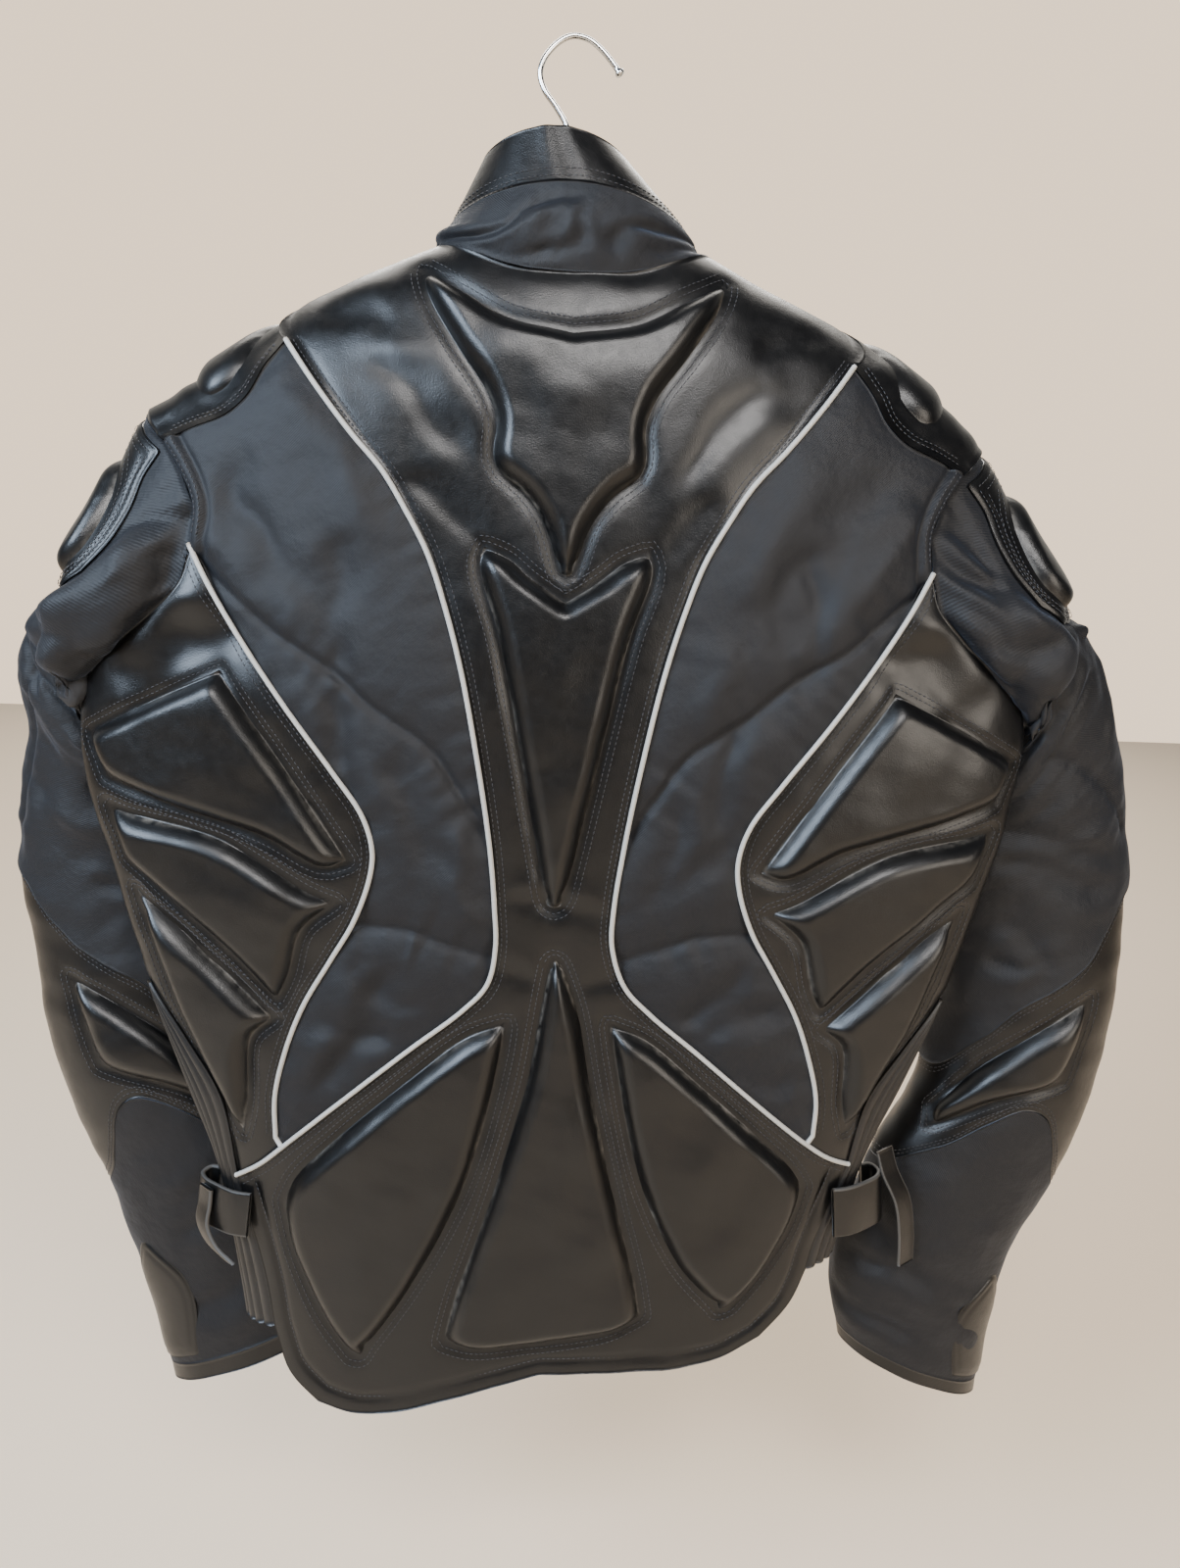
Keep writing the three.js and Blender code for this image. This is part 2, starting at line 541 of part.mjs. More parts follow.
// Troughs and swells of the quilted back panels: a line from one place to another.
const QUILT = [
  { fromX: 217, from: 318, toX: 134, to: 380, wide: 12, high: -1.5 },
  { fromX: 134, from: 380, toX: 45, to: 470, wide: 12, high: -1.5 },
  { fromX: 125, from: 538, toX: 42, to: 557, wide: 10, high: -1.5 },
  { fromX: 190, from: 250, toX: 120, to: 330, wide: 30, high: 3 },
  { fromX: 105, from: 300, toX: 100, to: 380, wide: 16, high: 3 },
  { fromX: 90, from: 430, toX: 75, to: 520, wide: 24, high: 4 },
  { fromX: 110, from: 575, toX: 140, to: 640, wide: 20, high: 4 },
];
function quilt(point, sign) {
  const x = (point.x - GARMENT_X) * sign;
  const drop = -point.z;
  return QUILT.reduce((sum, q) => {
    const [dx, dd] = [q.toX - q.fromX, q.to - q.from];
    const share = ((x - q.fromX) * dx + (drop - q.from) * dd) / (dx * dx + dd * dd);
    const t = THREE.MathUtils.clamp(share, 0, 1);
    const away = Math.hypot(x - q.fromX - t * dx, drop - q.from - t * dd);
    return sum + q.high * Math.exp(-((away / q.wide) ** 2));
  }, 0);
}

function sidePanel(name, sign) {
  const sideSeam = steps([[1, 396], [1, 588]], SEAM_STEPS.side);
  sideSeam[SEAM_STEPS.side] = [turnAt(264, 588), 588];
  const right = joinLines(sideSeam, seam('ribBack', PIPING_STEPS - SEAM_STEPS.side));
  const bottom = steps([pipingShortLine[PIPING_STEPS], [turnAt(206, 709), 709]], ARM.toSide);
  const grid = coons(seam('armLower', ARM.toSide), bottom, pipingShortLine, right);
  add(`side_leather_${name}`, 'leather',
    wall(BODY_SURFACE, grid.map((row) => mirror(row, sign)), { thick: WALL.leather }).geometry);
}

const RIB = { count: 7, high: 2.2, frontTop: 1.04, frontHem: 1.2 };
const ribFront = () => steps([[RIB.frontTop, 590], [1.12, 700], [RIB.frontHem, FRONT_HEM]],
  PIPING_STEPS - SEAM_STEPS.side + SEAM_STEPS.tailSeam);

function ribStrip(name, sign) {
  const left = joinLines(seam('ribBack', PIPING_STEPS - SEAM_STEPS.side),
    seam('tailSeam', SEAM_STEPS.tailSeam));
  const right = ribFront();
  const cols = 2 * RIB.count;
  const top = steps([left[0], right[0]], cols);
  const bottom = steps([left[left.length - 1], right[right.length - 1]], cols);
  const grid = coons(top, bottom, left, right);
  const placed = grid.map((row) => mirror(row, sign));
  const relief = (point, i, j) => (j % 2 === 1 ? RIB.high : 0);
  add(`rib_strip_${name}`, 'leather', wall(BODY_SURFACE, placed, { thick: WALL.rib, relief }).geometry);
}

const NECK_FRONT = 176;          // drop of the neckline at the centre front
const besideZip = (drop) => turnAt(ZIP_HALF, drop, true);

/** The neckline from the shoulder to the zip. */
function neckFrontLine() {
  return steps([[1, 121], [1.45, 148], [besideZip(NECK_FRONT), NECK_FRONT]], COLS.front);
}

function frontPanel(name, sign) {
  const side = steps([[1, 396], [RIB.frontTop, 590]], SEAM_STEPS.side);
  const outer = joinLines(RIDGE, patchInner(true), seam('patchBack', COLS.textile, true),
    ARMHOLE.front.slice(ARM.toPatch), side, ribFront());
  const count = outer.length - 1;
  const middle = outer.map(([, drop]) => {
    const share = (drop - outer[0][1]) / (FRONT_HEM - outer[0][1]);
    const level = NECK_FRONT + (FRONT_HEM - NECK_FRONT) * share ** 1.25;
    return [besideZip(level), level];
  });
  const neck = neckFrontLine();
  const hem = steps([outer[count], middle[count]], COLS.front);
  const grid = coons(neck, hem, outer, middle);
  add(`front_${name}`, 'leather',
    wall(BODY_SURFACE, grid.map((row) => mirror(row, sign)), { thick: WALL.leather }).geometry);
}

// ---------------------------------------------------------------- assembling
backCentre();
SIDES.forEach(([name, sign]) => {
  shoulderPatch(name, sign);
  backTextile(name, sign);
  sidePanel(name, sign);
  ribStrip(name, sign);
  frontPanel(name, sign);
});

function sleeve(name) {
  const surface = sleeveSurface(name);
  const arounds = Array.from({ length: AROUND_STEPS + 1 }, (_, j) => (j * 360) / AROUND_STEPS);
  const tube = (from, to, rows, options) => {
    const grid = Array.from({ length: rows + 1 }, (_, i) => arounds.map((around) => {
      const [a, b] = [from(around), to(around)];
      return [around, a + ((b - a) * i) / rows];
    }));
    return wall(surface, grid, { closed: true, ...options }).geometry;
  };
  const elbow = (edge) => (around) => smoothColumn(ELBOW, 'around', edge, around) + ELBOW_SHIFT[name];
  const [elbowTop, elbowLow] = [elbow('top'), elbow('low')];
  const [start, band, end] = [() => 0, () => CUFF_BAND, () => SLEEVE_END];
  add(`sleeve_upper_${name}`, 'textile', tube(start, elbowTop, 9, { thick: WALL.textile }));
  add(`sleeve_elbow_${name}`, 'leather', tube(elbowTop, elbowLow, 4, { thick: WALL.leather }));
  add(`sleeve_forearm_${name}`, 'textile', tube(elbowLow, band, 5, { thick: WALL.textile }));
  add(`cuff_band_${name}`, 'leather', tube(band, end, 1, { thick: WALL.textile + 0.6 }));
}
SIDES.forEach(([name]) => sleeve(name));

// ---------------------------------------------------------------- collar
// The collar's rings above the neckline: middle, half width, y at the back and at the front, drops.
const COLLAR = [
  { cx: -5.5, half: 78.5, back: -52, front: 56, dropBack: 119, dropSide: 116, dropFront: 160 },
  { cx: -4, half: 73, back: -46, front: 52, dropBack: 94, dropSide: 109, dropFront: 140 },
  { cx: -13, half: 45, back: -38, front: 45, dropBack: 62, dropSide: 72, dropFront: 108 },
];
const NECK = joinLines([...seam('neckBack', COLS.back / 2)].reverse(), neckFrontLine());
const NECK_STEPS = NECK.length - 1;

/** The collar's point: column counts places from the centre back, along counts its rings. */
function collarPoint(column, along) {
  const place = Math.min(Math.abs(column), NECK_STEPS);
  const low = Math.min(Math.floor(place), NECK_STEPS - 1);
  const at = (k) => NECK[low][k] + (NECK[low + 1][k] - NECK[low][k]) * (place - low);
  const turn = Math.sign(column) * at(0);
  const [s, c] = [Math.sin(turn * Math.PI / 2), Math.cos(turn * Math.PI / 2)];
  const ring = (k) => {
    if (k === 0) return bodyPoint(turn, at(1));
    const row = COLLAR[k - 1];
    const [depth, end] = c >= 0 ? [-row.back, row.dropBack] : [row.front, row.dropFront];
    const drop = row.dropSide + (end - row.dropSide) * c * c;
    return new THREE.Vector3(row.cx + row.half * s + GARMENT_X, -depth * c, -drop);
  };
  return throughRings(ring, COLLAR.length, along);
}
const COLLAR_SURFACE = { point: collarPoint, outward: 1, du: 0.05, dv: 0.05 };

function collarPart(name, material, from, to, rows, gap) {
  const grid = Array.from({ length: rows + 1 }, (_, i) => (
    Array.from({ length: 2 * NECK_STEPS + 1 }, (__, j) => [j - NECK_STEPS, from + (to - from) * i / rows])
  ));
  add(name, material, wall(COLLAR_SURFACE, grid, { thick: WALL.collar, gap }).geometry);
}
collarPart('collar_stand', 'textile', 0, 2, 4, 2 * SEAM_GAP);
collarPart('collar_band', 'leather', 2, 3, 2, 0);

// ---------------------------------------------------------------- piping
SIDES.forEach(([name, sign]) => {
  const lift = PIPING_RADIUS + 2 * SEAM_GAP;
  const long = joinLines(pipingLongLine, seam('pipingTail', SEAM_STEPS.pipingTail));
  add(`piping_long_${name}`, 'piping', piping(BODY_SURFACE, mirror(long, sign), PIPING_RADIUS, lift));
  add(`piping_short_${name}`, 'piping',
    piping(BODY_SURFACE, mirror(pipingShortLine.slice(0, -1), sign), PIPING_RADIUS, lift));
});

// ---------------------------------------------------------------- raised pads of the back
// Pads across the middle: the right half of their top, side and bottom edges.
const CENTRE_PADS = [
  {
    name: 'pad_upper', cols: 8, rows: 9, lift: 2.4,
    top: [{ x: 90, drop: 142 }, { x: 65, drop: 156 }, { x: 36, drop: 171 }, { x: 0, drop: 177 }],
    side: [
      { x: 90, drop: 142 }, { x: 88, drop: 152 }, { x: 83, drop: 164 }, { x: 67, drop: 189 },
      { x: 50, drop: 213 }, { x: 44, drop: 230 }, { x: 45, drop: 248 }, { x: 42, drop: 257 },
      { x: 25, drop: 271 }, { x: 13, drop: 289 }, { x: 6, drop: 311 },
    ],
    bottom: [{ x: 6, drop: 311 }, { x: 4, drop: 316 }, { x: 0, drop: 318 }],
  },
  {
    name: 'pad_middle', cols: 6, rows: 7, lift: PAD_LIFT,
    top: [{ x: 49, drop: 301 }, { x: 34, drop: 307 }, { x: 20, drop: 318 }, { x: 0, drop: 331 }],
    side: [
      { x: 49, drop: 301 }, { x: 52, drop: 312 }, { x: 40, drop: 352 }, { x: 28, drop: 408 },
      { x: 17, drop: 464 }, { x: 7, drop: 515 },
    ],
    bottom: [{ x: 7, drop: 515 }, { x: 4, drop: 521 }, { x: 0, drop: 523 }],
  },
  {
    name: 'pad_tail', cols: 6, rows: 7, lift: PAD_LIFT,
    top: [{ x: 4, drop: 561 }, { x: 2, drop: 558 }, { x: 0, drop: 557 }],
    side: [
      { x: 4, drop: 561 }, { x: 11, drop: 587 }, { x: 21, drop: 642 }, { x: 33, drop: 690 },
      { x: 45, drop: 734 }, { x: 60, drop: 784 }, { x: 67, drop: 816 },
    ],
    bottom: [{ x: 67, drop: 816 }, { x: 45, drop: 824 }, { x: 0, drop: 826 }],
  },
];

// Pads of the right half between four edges. The left half mirrors them.
const PADS = [
  {
    name: 'pad_waist', cols: 5, rows: 7,
    top: [
      { x: 33, drop: 600 }, { x: 58, drop: 610 }, { x: 92, drop: 638 }, { x: 133, drop: 675 },
      { x: 165, drop: 707 }, { x: 175, drop: 725 },
    ],
    bottom: [{ x: 117, drop: 816 }, { x: 121, drop: 822 }, { x: 128, drop: 821 }],
    left: [
      { x: 33, drop: 600 }, { x: 36, drop: 622 }, { x: 57, drop: 710 }, { x: 88, drop: 776 },
      { x: 117, drop: 816 },
    ],
    right: [
      { x: 175, drop: 725 }, { x: 167, drop: 757 }, { x: 148, drop: 795 }, { x: 128, drop: 821 },
    ],
  },
  {
    name: 'pad_side_upper', cols: 5, rows: 4,
    top: [{ x: 207, drop: 380 }, { x: 250, drop: 400 }, { x: 293, drop: 422 }],
    bottom: [
      { x: 128, drop: 496 }, { x: 145, drop: 501 }, { x: 183, drop: 482 }, { x: 237, drop: 466 },
      { x: 265, drop: 456 }, { x: 282, drop: 450 },
    ],
    left: [{ x: 207, drop: 380 }, { x: 168, drop: 436 }, { x: 128, drop: 496 }],
    right: [{ x: 293, drop: 422 }, { x: 282, drop: 450 }],
  },
  {
    name: 'pad_side_middle', cols: 5, rows: 4,
    top: [
      { x: 136, drop: 523 }, { x: 152, drop: 517 }, { x: 210, drop: 484 }, { x: 267, drop: 472 },
      { x: 283, drop: 467 },
    ],
    bottom: [
      { x: 176, drop: 592 }, { x: 206, drop: 560 }, { x: 241, drop: 529 }, { x: 261, drop: 511 },
      { x: 272, drop: 503 },
    ],
    left: [{ x: 136, drop: 523 }, { x: 158, drop: 542 }, { x: 168, drop: 575 }, { x: 176, drop: 592 }],
    right: [{ x: 283, drop: 467 }, { x: 272, drop: 503 }],
  },
  {
    name: 'pad_side_lower', cols: 5, rows: 4,
    top: [{ x: 178, drop: 603 }, { x: 242, drop: 543 }, { x: 261, drop: 529 }, { x: 268, drop: 522 }],
    bottom: [
      { x: 202, drop: 683 }, { x: 219, drop: 652 }, { x: 244, drop: 598 }, { x: 256, drop: 560 },
      { x: 264, drop: 538 },
    ],
    left: [{ x: 178, drop: 603 }, { x: 193, drop: 617 }, { x: 197, drop: 661 }, { x: 202, drop: 683 }],
    right: [{ x: 268, drop: 522 }, { x: 264, drop: 538 }],
  },
];

CENTRE_PADS.forEach(({ name, cols, rows, lift, top, side, bottom }) => {
  const right = placesOn(side, rows);
  const across = (line) => acrossMiddle(placesOn(line, cols / 2));
  const grid = backPlaces(across(top), across(bottom), mirror(right, -1), right);
  add(name, 'leather', pad(BODY_SURFACE, grid, PAD_HEIGHT, lift));
});
PADS.forEach((row) => {
  const grid = backPlaces(placesOn(row.top, row.cols), placesOn(row.bottom, row.cols),
    placesOn(row.left, row.rows), placesOn(row.right, row.rows));
  SIDES.forEach(([name, sign]) => {
    add(`${row.name}_${name}`, 'leather', pad(BODY_SURFACE, grid.map((line) => mirror(line, sign))));
  });
});

// The shoulder pad stands astride the shoulder line.
const shoulderPad = coons(
  steps([[0.84, 172], [1, 165], [1.1, 167]], 4),
  steps([[0.6, 221], [0.66, 217], [0.8, 208], [1, 200], [1.1, 196]], 4),
  steps([[0.84, 172], [0.72, 186], [0.63, 198], [0.59, 210], [0.6, 221]], 5),
  steps([[1.1, 167], [1.12, 182], [1.1, 196]], 5),
);
SIDES.forEach(([name, sign]) => {
  add(`pad_shoulder_${name}`, 'leather',
    pad(BODY_SURFACE, shoulderPad.map((line) => mirror(line, sign)), SHOULDER_PAD.height, SHOULDER_PAD.lift));
});

// ---------------------------------------------------------------- pieces laid on the sleeves
// Lines of [around, along] places, each between four edges.
const SLEEVE_PIECES = [
  {
    name: 'sleeve_cap', cols: 14, rows: 7,
    top: [[38, 0.08], [0, 0.08], [-38, 0.08]],
    bottom: [[75, 0.82], [72, 1.2], [56, 1.75], [34, 2.25], [0, 2.3], [-36, 1.9], [-60, 1.3], [-68, 0.9]],
    left: [[38, 0.08], [42, 0.28], [52, 0.42], [66, 0.6], [75, 0.82]],
    right: [[-38, 0.08], [-44, 0.3], [-58, 0.5], [-68, 0.9]],
  },
  {
    name: 'cuff_gusset', cols: 4, rows: 4,
    top: [[34, 12.1], [42, 12.1]],
    bottom: [[-14, 13.7], [62, 13.7]],
    left: [[34, 12.1], [8, 12.7], [-14, 13.7]],
    right: [[42, 12.1], [66, 12.8], [62, 13.7]],
  },
];
const ELBOW_PAD = {
  cols: 5, rows: 3,
  top: [[62, 8.05], [92, 8.5], [123, 9.2], [148, 10.15]],
  bottom: [[71, 9.3], [84, 9.45], [108, 9.75], [140, 10.45]],
  left: [[62, 8.05], [66, 8.7], [71, 9.3]],
  right: [[148, 10.15], [140, 10.45]],
};
const CAP_PAD = {
  cols: 6, rows: 8,
  top: [[20, 0.38], [0, 0.42]],
  bottom: [[46, 1.75], [24, 1.95]],
  left: [[20, 0.38], [33, 0.52], [52, 0.7], [62, 0.86], [60, 1.25], [46, 1.75]],
  right: [[0, 0.42], [-2, 1], [8, 1.5], [24, 1.95]],
};
const placesBetween = ({ top, bottom, left, right, cols, rows }) => coons(
  steps(top, cols), steps(bottom, cols), steps(left, rows), steps(right, rows));

SIDES.forEach(([name]) => {
  const surface = sleeveSurface(name);
  SLEEVE_PIECES.forEach((piece) => {
    const lift = PATCH.thick + (piece.name === 'sleeve_cap' ? CAP_LIFT[name].cap : PATCH.lift);
    add(`${piece.name}_${name}`, 'leather',
      wall(surface, placesBetween(piece), { thick: PATCH.thick, lift, gap: 0 }).geometry);
  });
  const elbow = placesBetween(ELBOW_PAD).map((row) => row.map(([u, v]) => [u, v + ELBOW_SHIFT[name]]));
  add(`pad_elbow_${name}`, 'leather', pad(surface, elbow));
  add(`pad_cap_${name}`, 'leather',
    pad(surface, placesBetween(CAP_PAD), PAD_HEIGHT - 3,
      CAP_LIFT[name].cap + PATCH.thick + CAP_LIFT[name].pad));
});

// ---------------------------------------------------------------- waist straps
// Rows of each strap: x, y and drop of its middle. across: the direction of its width.
const STRAPS = [
  {
    name: 'waist_tab_right', across: [0.1, 0, -1], width: 36, thick: 3,
    path: [
      { x: 201, y: -48, drop: 736 }, { x: 213, y: -45, drop: 736 }, { x: 227, y: -37, drop: 736 },
      { x: 238, y: -28, drop: 736 }, { x: 241, y: -20, drop: 736 }, { x: 236.5, y: -14, drop: 735 },
      { x: 229, y: -16, drop: 735 },
    ],
  },
  {
    name: 'waist_tab_left', across: [0.1, 0, 1], width: 32, thick: 3,
    path: [
      { x: -193, y: -48, drop: 744 }, { x: -205, y: -45, drop: 744 }, { x: -218, y: -37, drop: 744 },
      { x: -229, y: -28, drop: 744 }, { x: -233, y: -20, drop: 744 }, { x: -229, y: -14, drop: 743 },
      { x: -222.8, y: -15, drop: 743 },
    ],
  },
  {
    name: 'hanging_strap_right', across: [0.8, 0.6, 0], width: 17, thick: 2.6,
    path: [
      { x: 241.4, y: -22, drop: 702 }, { x: 245.8, y: -24, drop: 717 }, { x: 257, y: -25, drop: 740 },
      { x: 262, y: -24, drop: 764 }, { x: 264, y: -23, drop: 789 },
    ],
  },
  {
    name: 'curled_strap_left', across: [-0.74, 0.67, 0], width: 14, thick: 2.6,
    path: [
      { x: -224.6, y: -35.4, drop: 731 }, { x: -225.6, y: -35.6, drop: 742 }, { x: -227, y: -38, drop: 756 },
      { x: -220, y: -43, drop: 768 }, { x: -207, y: -50, drop: 776 },
    ],
  },
];

function ribbon({ path, across, width, thick }) {
  const at = path.map((row) => new THREE.Vector3(row.x, row.y, -row.drop));
  const curve = new THREE.CatmullRomCurve3(at, false, 'centripetal');
  const count = 2 * (path.length - 1);
  const wide = new THREE.Vector3(...across).normalize();
  return loft(Array.from({ length: count + 1 }, (_, i) => {
    const middle = curve.getPointAt(i / count);
    const normal = curve.getTangentAt(i / count).cross(wide).normalize();
    return [[-1, -1], [1, -1], [1, 1], [-1, 1]].map(([a, b]) => middle.clone()
      .addScaledVector(wide, a * width / 2).addScaledVector(normal, b * thick / 2));
  }));
}
STRAPS.forEach((strap) => add(strap.name, 'leather', ribbon(strap)));

// ---------------------------------------------------------------- front zip
const ZIP = { thick: 1.6, rows: 14, top: NECK_FRONT + 6, slider: 188, pull: 30 };

function zipTape() {
  const grid = Array.from({ length: ZIP.rows + 1 }, (_, i) => {
    const drop = ZIP.top + (FRONT_HEM - 2 - ZIP.top) * i / ZIP.rows;
    const edge = turnAt(ZIP_HALF, drop, true);
    return [[edge, drop], [2, drop], [4 - edge, drop]];
  });
  return wall(BODY_SURFACE, grid, { thick: ZIP.thick, gap: 2 * SEAM_GAP }).geometry;
}
add('zip', 'zipMetal', zipTape());

/** A block with bevelled edges, from its size and its middle. */
function block(width, deep, tall, middle, bevel) {
  const corners = [[1, 1], [-1, 1], [-1, -1], [1, -1]];
  const ring = (z, inset) => corners.flatMap(([a, b]) => {
    const [x, y] = [width / 2 - inset, deep / 2 - inset];
    const near = [[x, y - bevel], [x - bevel, y]];
    const ordered = a * b > 0 ? near : [...near].reverse();
    return ordered.map(([px, py]) => new THREE.Vector3(a * px, b * py, z).add(middle));
  });
  const high = tall / 2;
  return loft([ring(-high, bevel), ring(-high + bevel, 0), ring(high - bevel, 0), ring(high, bevel)]);
}
const zipFace = bodyPoint(2, ZIP.slider);
const sliderMiddle = zipFace.clone().add(new THREE.Vector3(0, 3.4, 0));
add('zip_slider', 'zipMetal', block(11, 5, 13, sliderMiddle, 0.9));
const pullMiddle = sliderMiddle.clone().add(new THREE.Vector3(0, 4.2, -ZIP.pull / 2 + 3));
add('zip_pull', 'zipMetal', block(7, 2, ZIP.pull, pullMiddle, 0.5));

// ---------------------------------------------------------------- hanger
const HOOK = [
  { x: 1, z: -118.15 }, { x: 0, z: -85 }, { x: -3, z: -51 }, { x: -10, z: -39 }, { x: -18, z: -29 },
  { x: -21, z: -20 }, { x: -19, z: -12 }, { x: -12, z: -3.5 }, { x: -5, z: 0.8 }, { x: 0, z: 1.7 },
  { x: 8, z: 0 }, { x: 16, z: -5.5 }, { x: 22, z: -11.5 }, { x: 25.5, z: -15.5 },
];
const HOOK_STEPS = 30;
const HOOK_TIP = [{ from: 2.4, radius: 2.6 }, { from: 1, radius: 2.9 }, { from: -1, radius: 2.1 }];

function hook() {
  const curve = new THREE.CatmullRomCurve3(HOOK.map((p) => new THREE.Vector3(p.x, 0, p.z)), false,
    'centripetal');
  const ring = (middle, along, radius) => {
    const side = new THREE.Vector3(0, 1, 0);
    const up = along.clone().cross(side);
    return Array.from({ length: 8 }, (_, k) => {
      const angle = (2 * Math.PI * (k + 0.5)) / 8;
      return middle.clone().addScaledVector(side, radius * Math.cos(angle))
        .addScaledVector(up, radius * Math.sin(angle));
    });
  };
  const rings = Array.from({ length: HOOK_STEPS + 1 }, (_, i) => (
    ring(curve.getPointAt(i / HOOK_STEPS), curve.getTangentAt(i / HOOK_STEPS), WIRE_RADIUS)));
  const [end, along] = [curve.getPointAt(1), curve.getTangentAt(1)];
  const tip = HOOK_TIP.map(({ from, radius }) => (
    ring(end.clone().addScaledVector(along, 3.6 - from), along, radius)));
  return loft([...rings, ...tip]);
}
add('hanger_hook', 'chrome', hook());

// Half of the hanger's arms: x, drop of the top edge, half the depth and half the height.
const ARMS = [
  { x: 0, top: 118, deep: 7, tall: 9 },
  { x: 45, top: 120, deep: 7, tall: 9 },
  { x: 85, top: 126, deep: 7, tall: 9 },
  { x: 125, top: 144, deep: 7, tall: 9 },
  { x: 158, top: 160, deep: 7, tall: 9 },
  { x: 185, top: 176, deep: 6.5, tall: 8 },
  { x: 203, top: 192, deep: 5, tall: 5 },
];
function arms() {
  const rows = [...[...ARMS].reverse().map((row) => ({ ...row, x: -row.x })), ...ARMS.slice(1)];
  return loft(rows.map(({ x, top, deep, tall }) => Array.from({ length: 10 }, (_, k) => {
    const angle = (2 * Math.PI * k) / 10;
    return new THREE.Vector3(x + GARMENT_X, deep * Math.cos(angle), -top - tall + tall * Math.sin(angle));
  })));
}
add('hanger_arms', 'hangerPlastic', arms());

export default jacket;
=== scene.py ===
"""A leather and textile motorcycle jacket, zipped up and hanging on a wire hanger.

Tables are in millimetres, in the part's frame: the origin is where the hook bears on its peg, +Z is
up, the back of the jacket faces -Y and the wearer's right side is at +X. A drop is a distance below
the origin. Meshes are made in metres.
"""
import math

import bpy
import numpy as np
from mathutils import Matrix

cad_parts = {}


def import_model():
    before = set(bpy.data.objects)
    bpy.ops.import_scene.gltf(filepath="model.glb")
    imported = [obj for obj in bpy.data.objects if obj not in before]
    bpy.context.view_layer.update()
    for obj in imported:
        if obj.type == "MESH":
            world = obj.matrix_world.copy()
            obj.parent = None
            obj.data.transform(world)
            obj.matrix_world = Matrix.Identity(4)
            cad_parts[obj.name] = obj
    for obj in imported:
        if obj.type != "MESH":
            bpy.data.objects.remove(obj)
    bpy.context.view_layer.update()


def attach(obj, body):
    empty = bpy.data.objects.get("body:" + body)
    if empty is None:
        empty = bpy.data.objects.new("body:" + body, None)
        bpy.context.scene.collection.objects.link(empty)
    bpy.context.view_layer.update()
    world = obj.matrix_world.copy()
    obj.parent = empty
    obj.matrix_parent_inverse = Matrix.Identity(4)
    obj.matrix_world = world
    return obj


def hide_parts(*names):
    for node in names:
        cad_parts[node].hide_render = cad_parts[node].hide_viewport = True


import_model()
MM = 0.001

# ------------------------------------------------------------------ camera
CAMERA = {"at": (-5.7, -720.0, -322.8), "yaw": 2.5, "pitch": 10.2, "roll": 2.25, "lens": 24.975}


def put(data, at, right, up, back):
    """An object placed by its own axes, in metres."""
    matrix = np.eye(4)
    matrix[:3] = np.stack([right, up, back, at], 1)
    obj = bpy.data.objects.new(data.name, data)
    obj.matrix_world = Matrix(matrix.tolist())
    bpy.context.scene.collection.objects.link(obj)
    return obj


def add_camera():
    yaw, pitch, roll = (math.radians(CAMERA[k]) for k in ("yaw", "pitch", "roll"))
    ahead = np.array([math.sin(yaw) * math.cos(pitch), math.cos(yaw) * math.cos(pitch),
                      -math.sin(pitch)])
    level = np.array([math.cos(yaw), -math.sin(yaw), 0.0])
    down = np.cross(ahead, level)
    right = math.cos(roll) * level - math.sin(roll) * down
    below = math.sin(roll) * level + math.cos(roll) * down
    data = bpy.data.cameras.new("camera")
    data.lens = CAMERA["lens"]
    data.sensor_width = 36.0
    data.clip_start = 0.01
    bpy.context.scene.camera = put(data, np.array(CAMERA["at"]) * MM, right, -below, -ahead)


add_camera()

# ------------------------------------------------------------------ the jacket's sizes
GARMENT_X = 4.0
FRONT_HEM = 804.0
ZIP_HALF = 7.0
NECK_FRONT = 176.0
PIPING_RADIUS, PIPING_RAISE = 1.6, 1.1
LEAN_REACH = 170.0
CUFF_BAND = 13.8
WALL = {"leather": 2.0, "textile": 2.6, "collar": 2.4}

# drop, half width, y of the side seam, y at the back and the front middle, exponents of the section
BODY = {
    "drop": [112, 121, 140, 155, 172, 195, 224, 265, 320, 396, 460, 520, 590, 650, 715, 770, 812,
             900],
    "half": [72, 81, 125, 158, 187, 222, 259, 275, 289, 303, 299, 284, 266, 246, 223, 212, 205,
             198],
    "side": [0, 0, 0, 0, -1, -2, -3, -5, -9, -14, -19, -20, -18, -15, -13, -13, -14, -16],
    "back": [-36, -40, -47, -52, -56, -60, -62, -64, -66, -66, -63, -60, -57, -58, -60, -62, -64,
             -66],
    "front": [40, 45, 50, 53, 55, 57, 58, 59, 60, 60, 59, 56, 52, 46, 38, 33, 30, 28],
    "back_round": [2.2, 2.2, 2.2, 2.25, 2.3, 2.35, 2.4, 2.5, 2.6] + [2.7] * 9,
    "front_round": [2.1, 2.1, 2.1, 2.1, 2.1, 2.1, 2.0, 1.9, 1.8, 1.65, 1.6, 1.6] + [1.7] * 6,
}
# How the hanging body leans to one side, and how its hem slopes
SETTLE = {
    "drop": [100, 480, 540, 600, 700, 760, 820, 880],
    "lean": [0, 0, 0, 6, 7, 5, 1, 0],
    "shear": [0, 0, 0, 0, 0.03, 0.08, 0.15, 0.2],
}
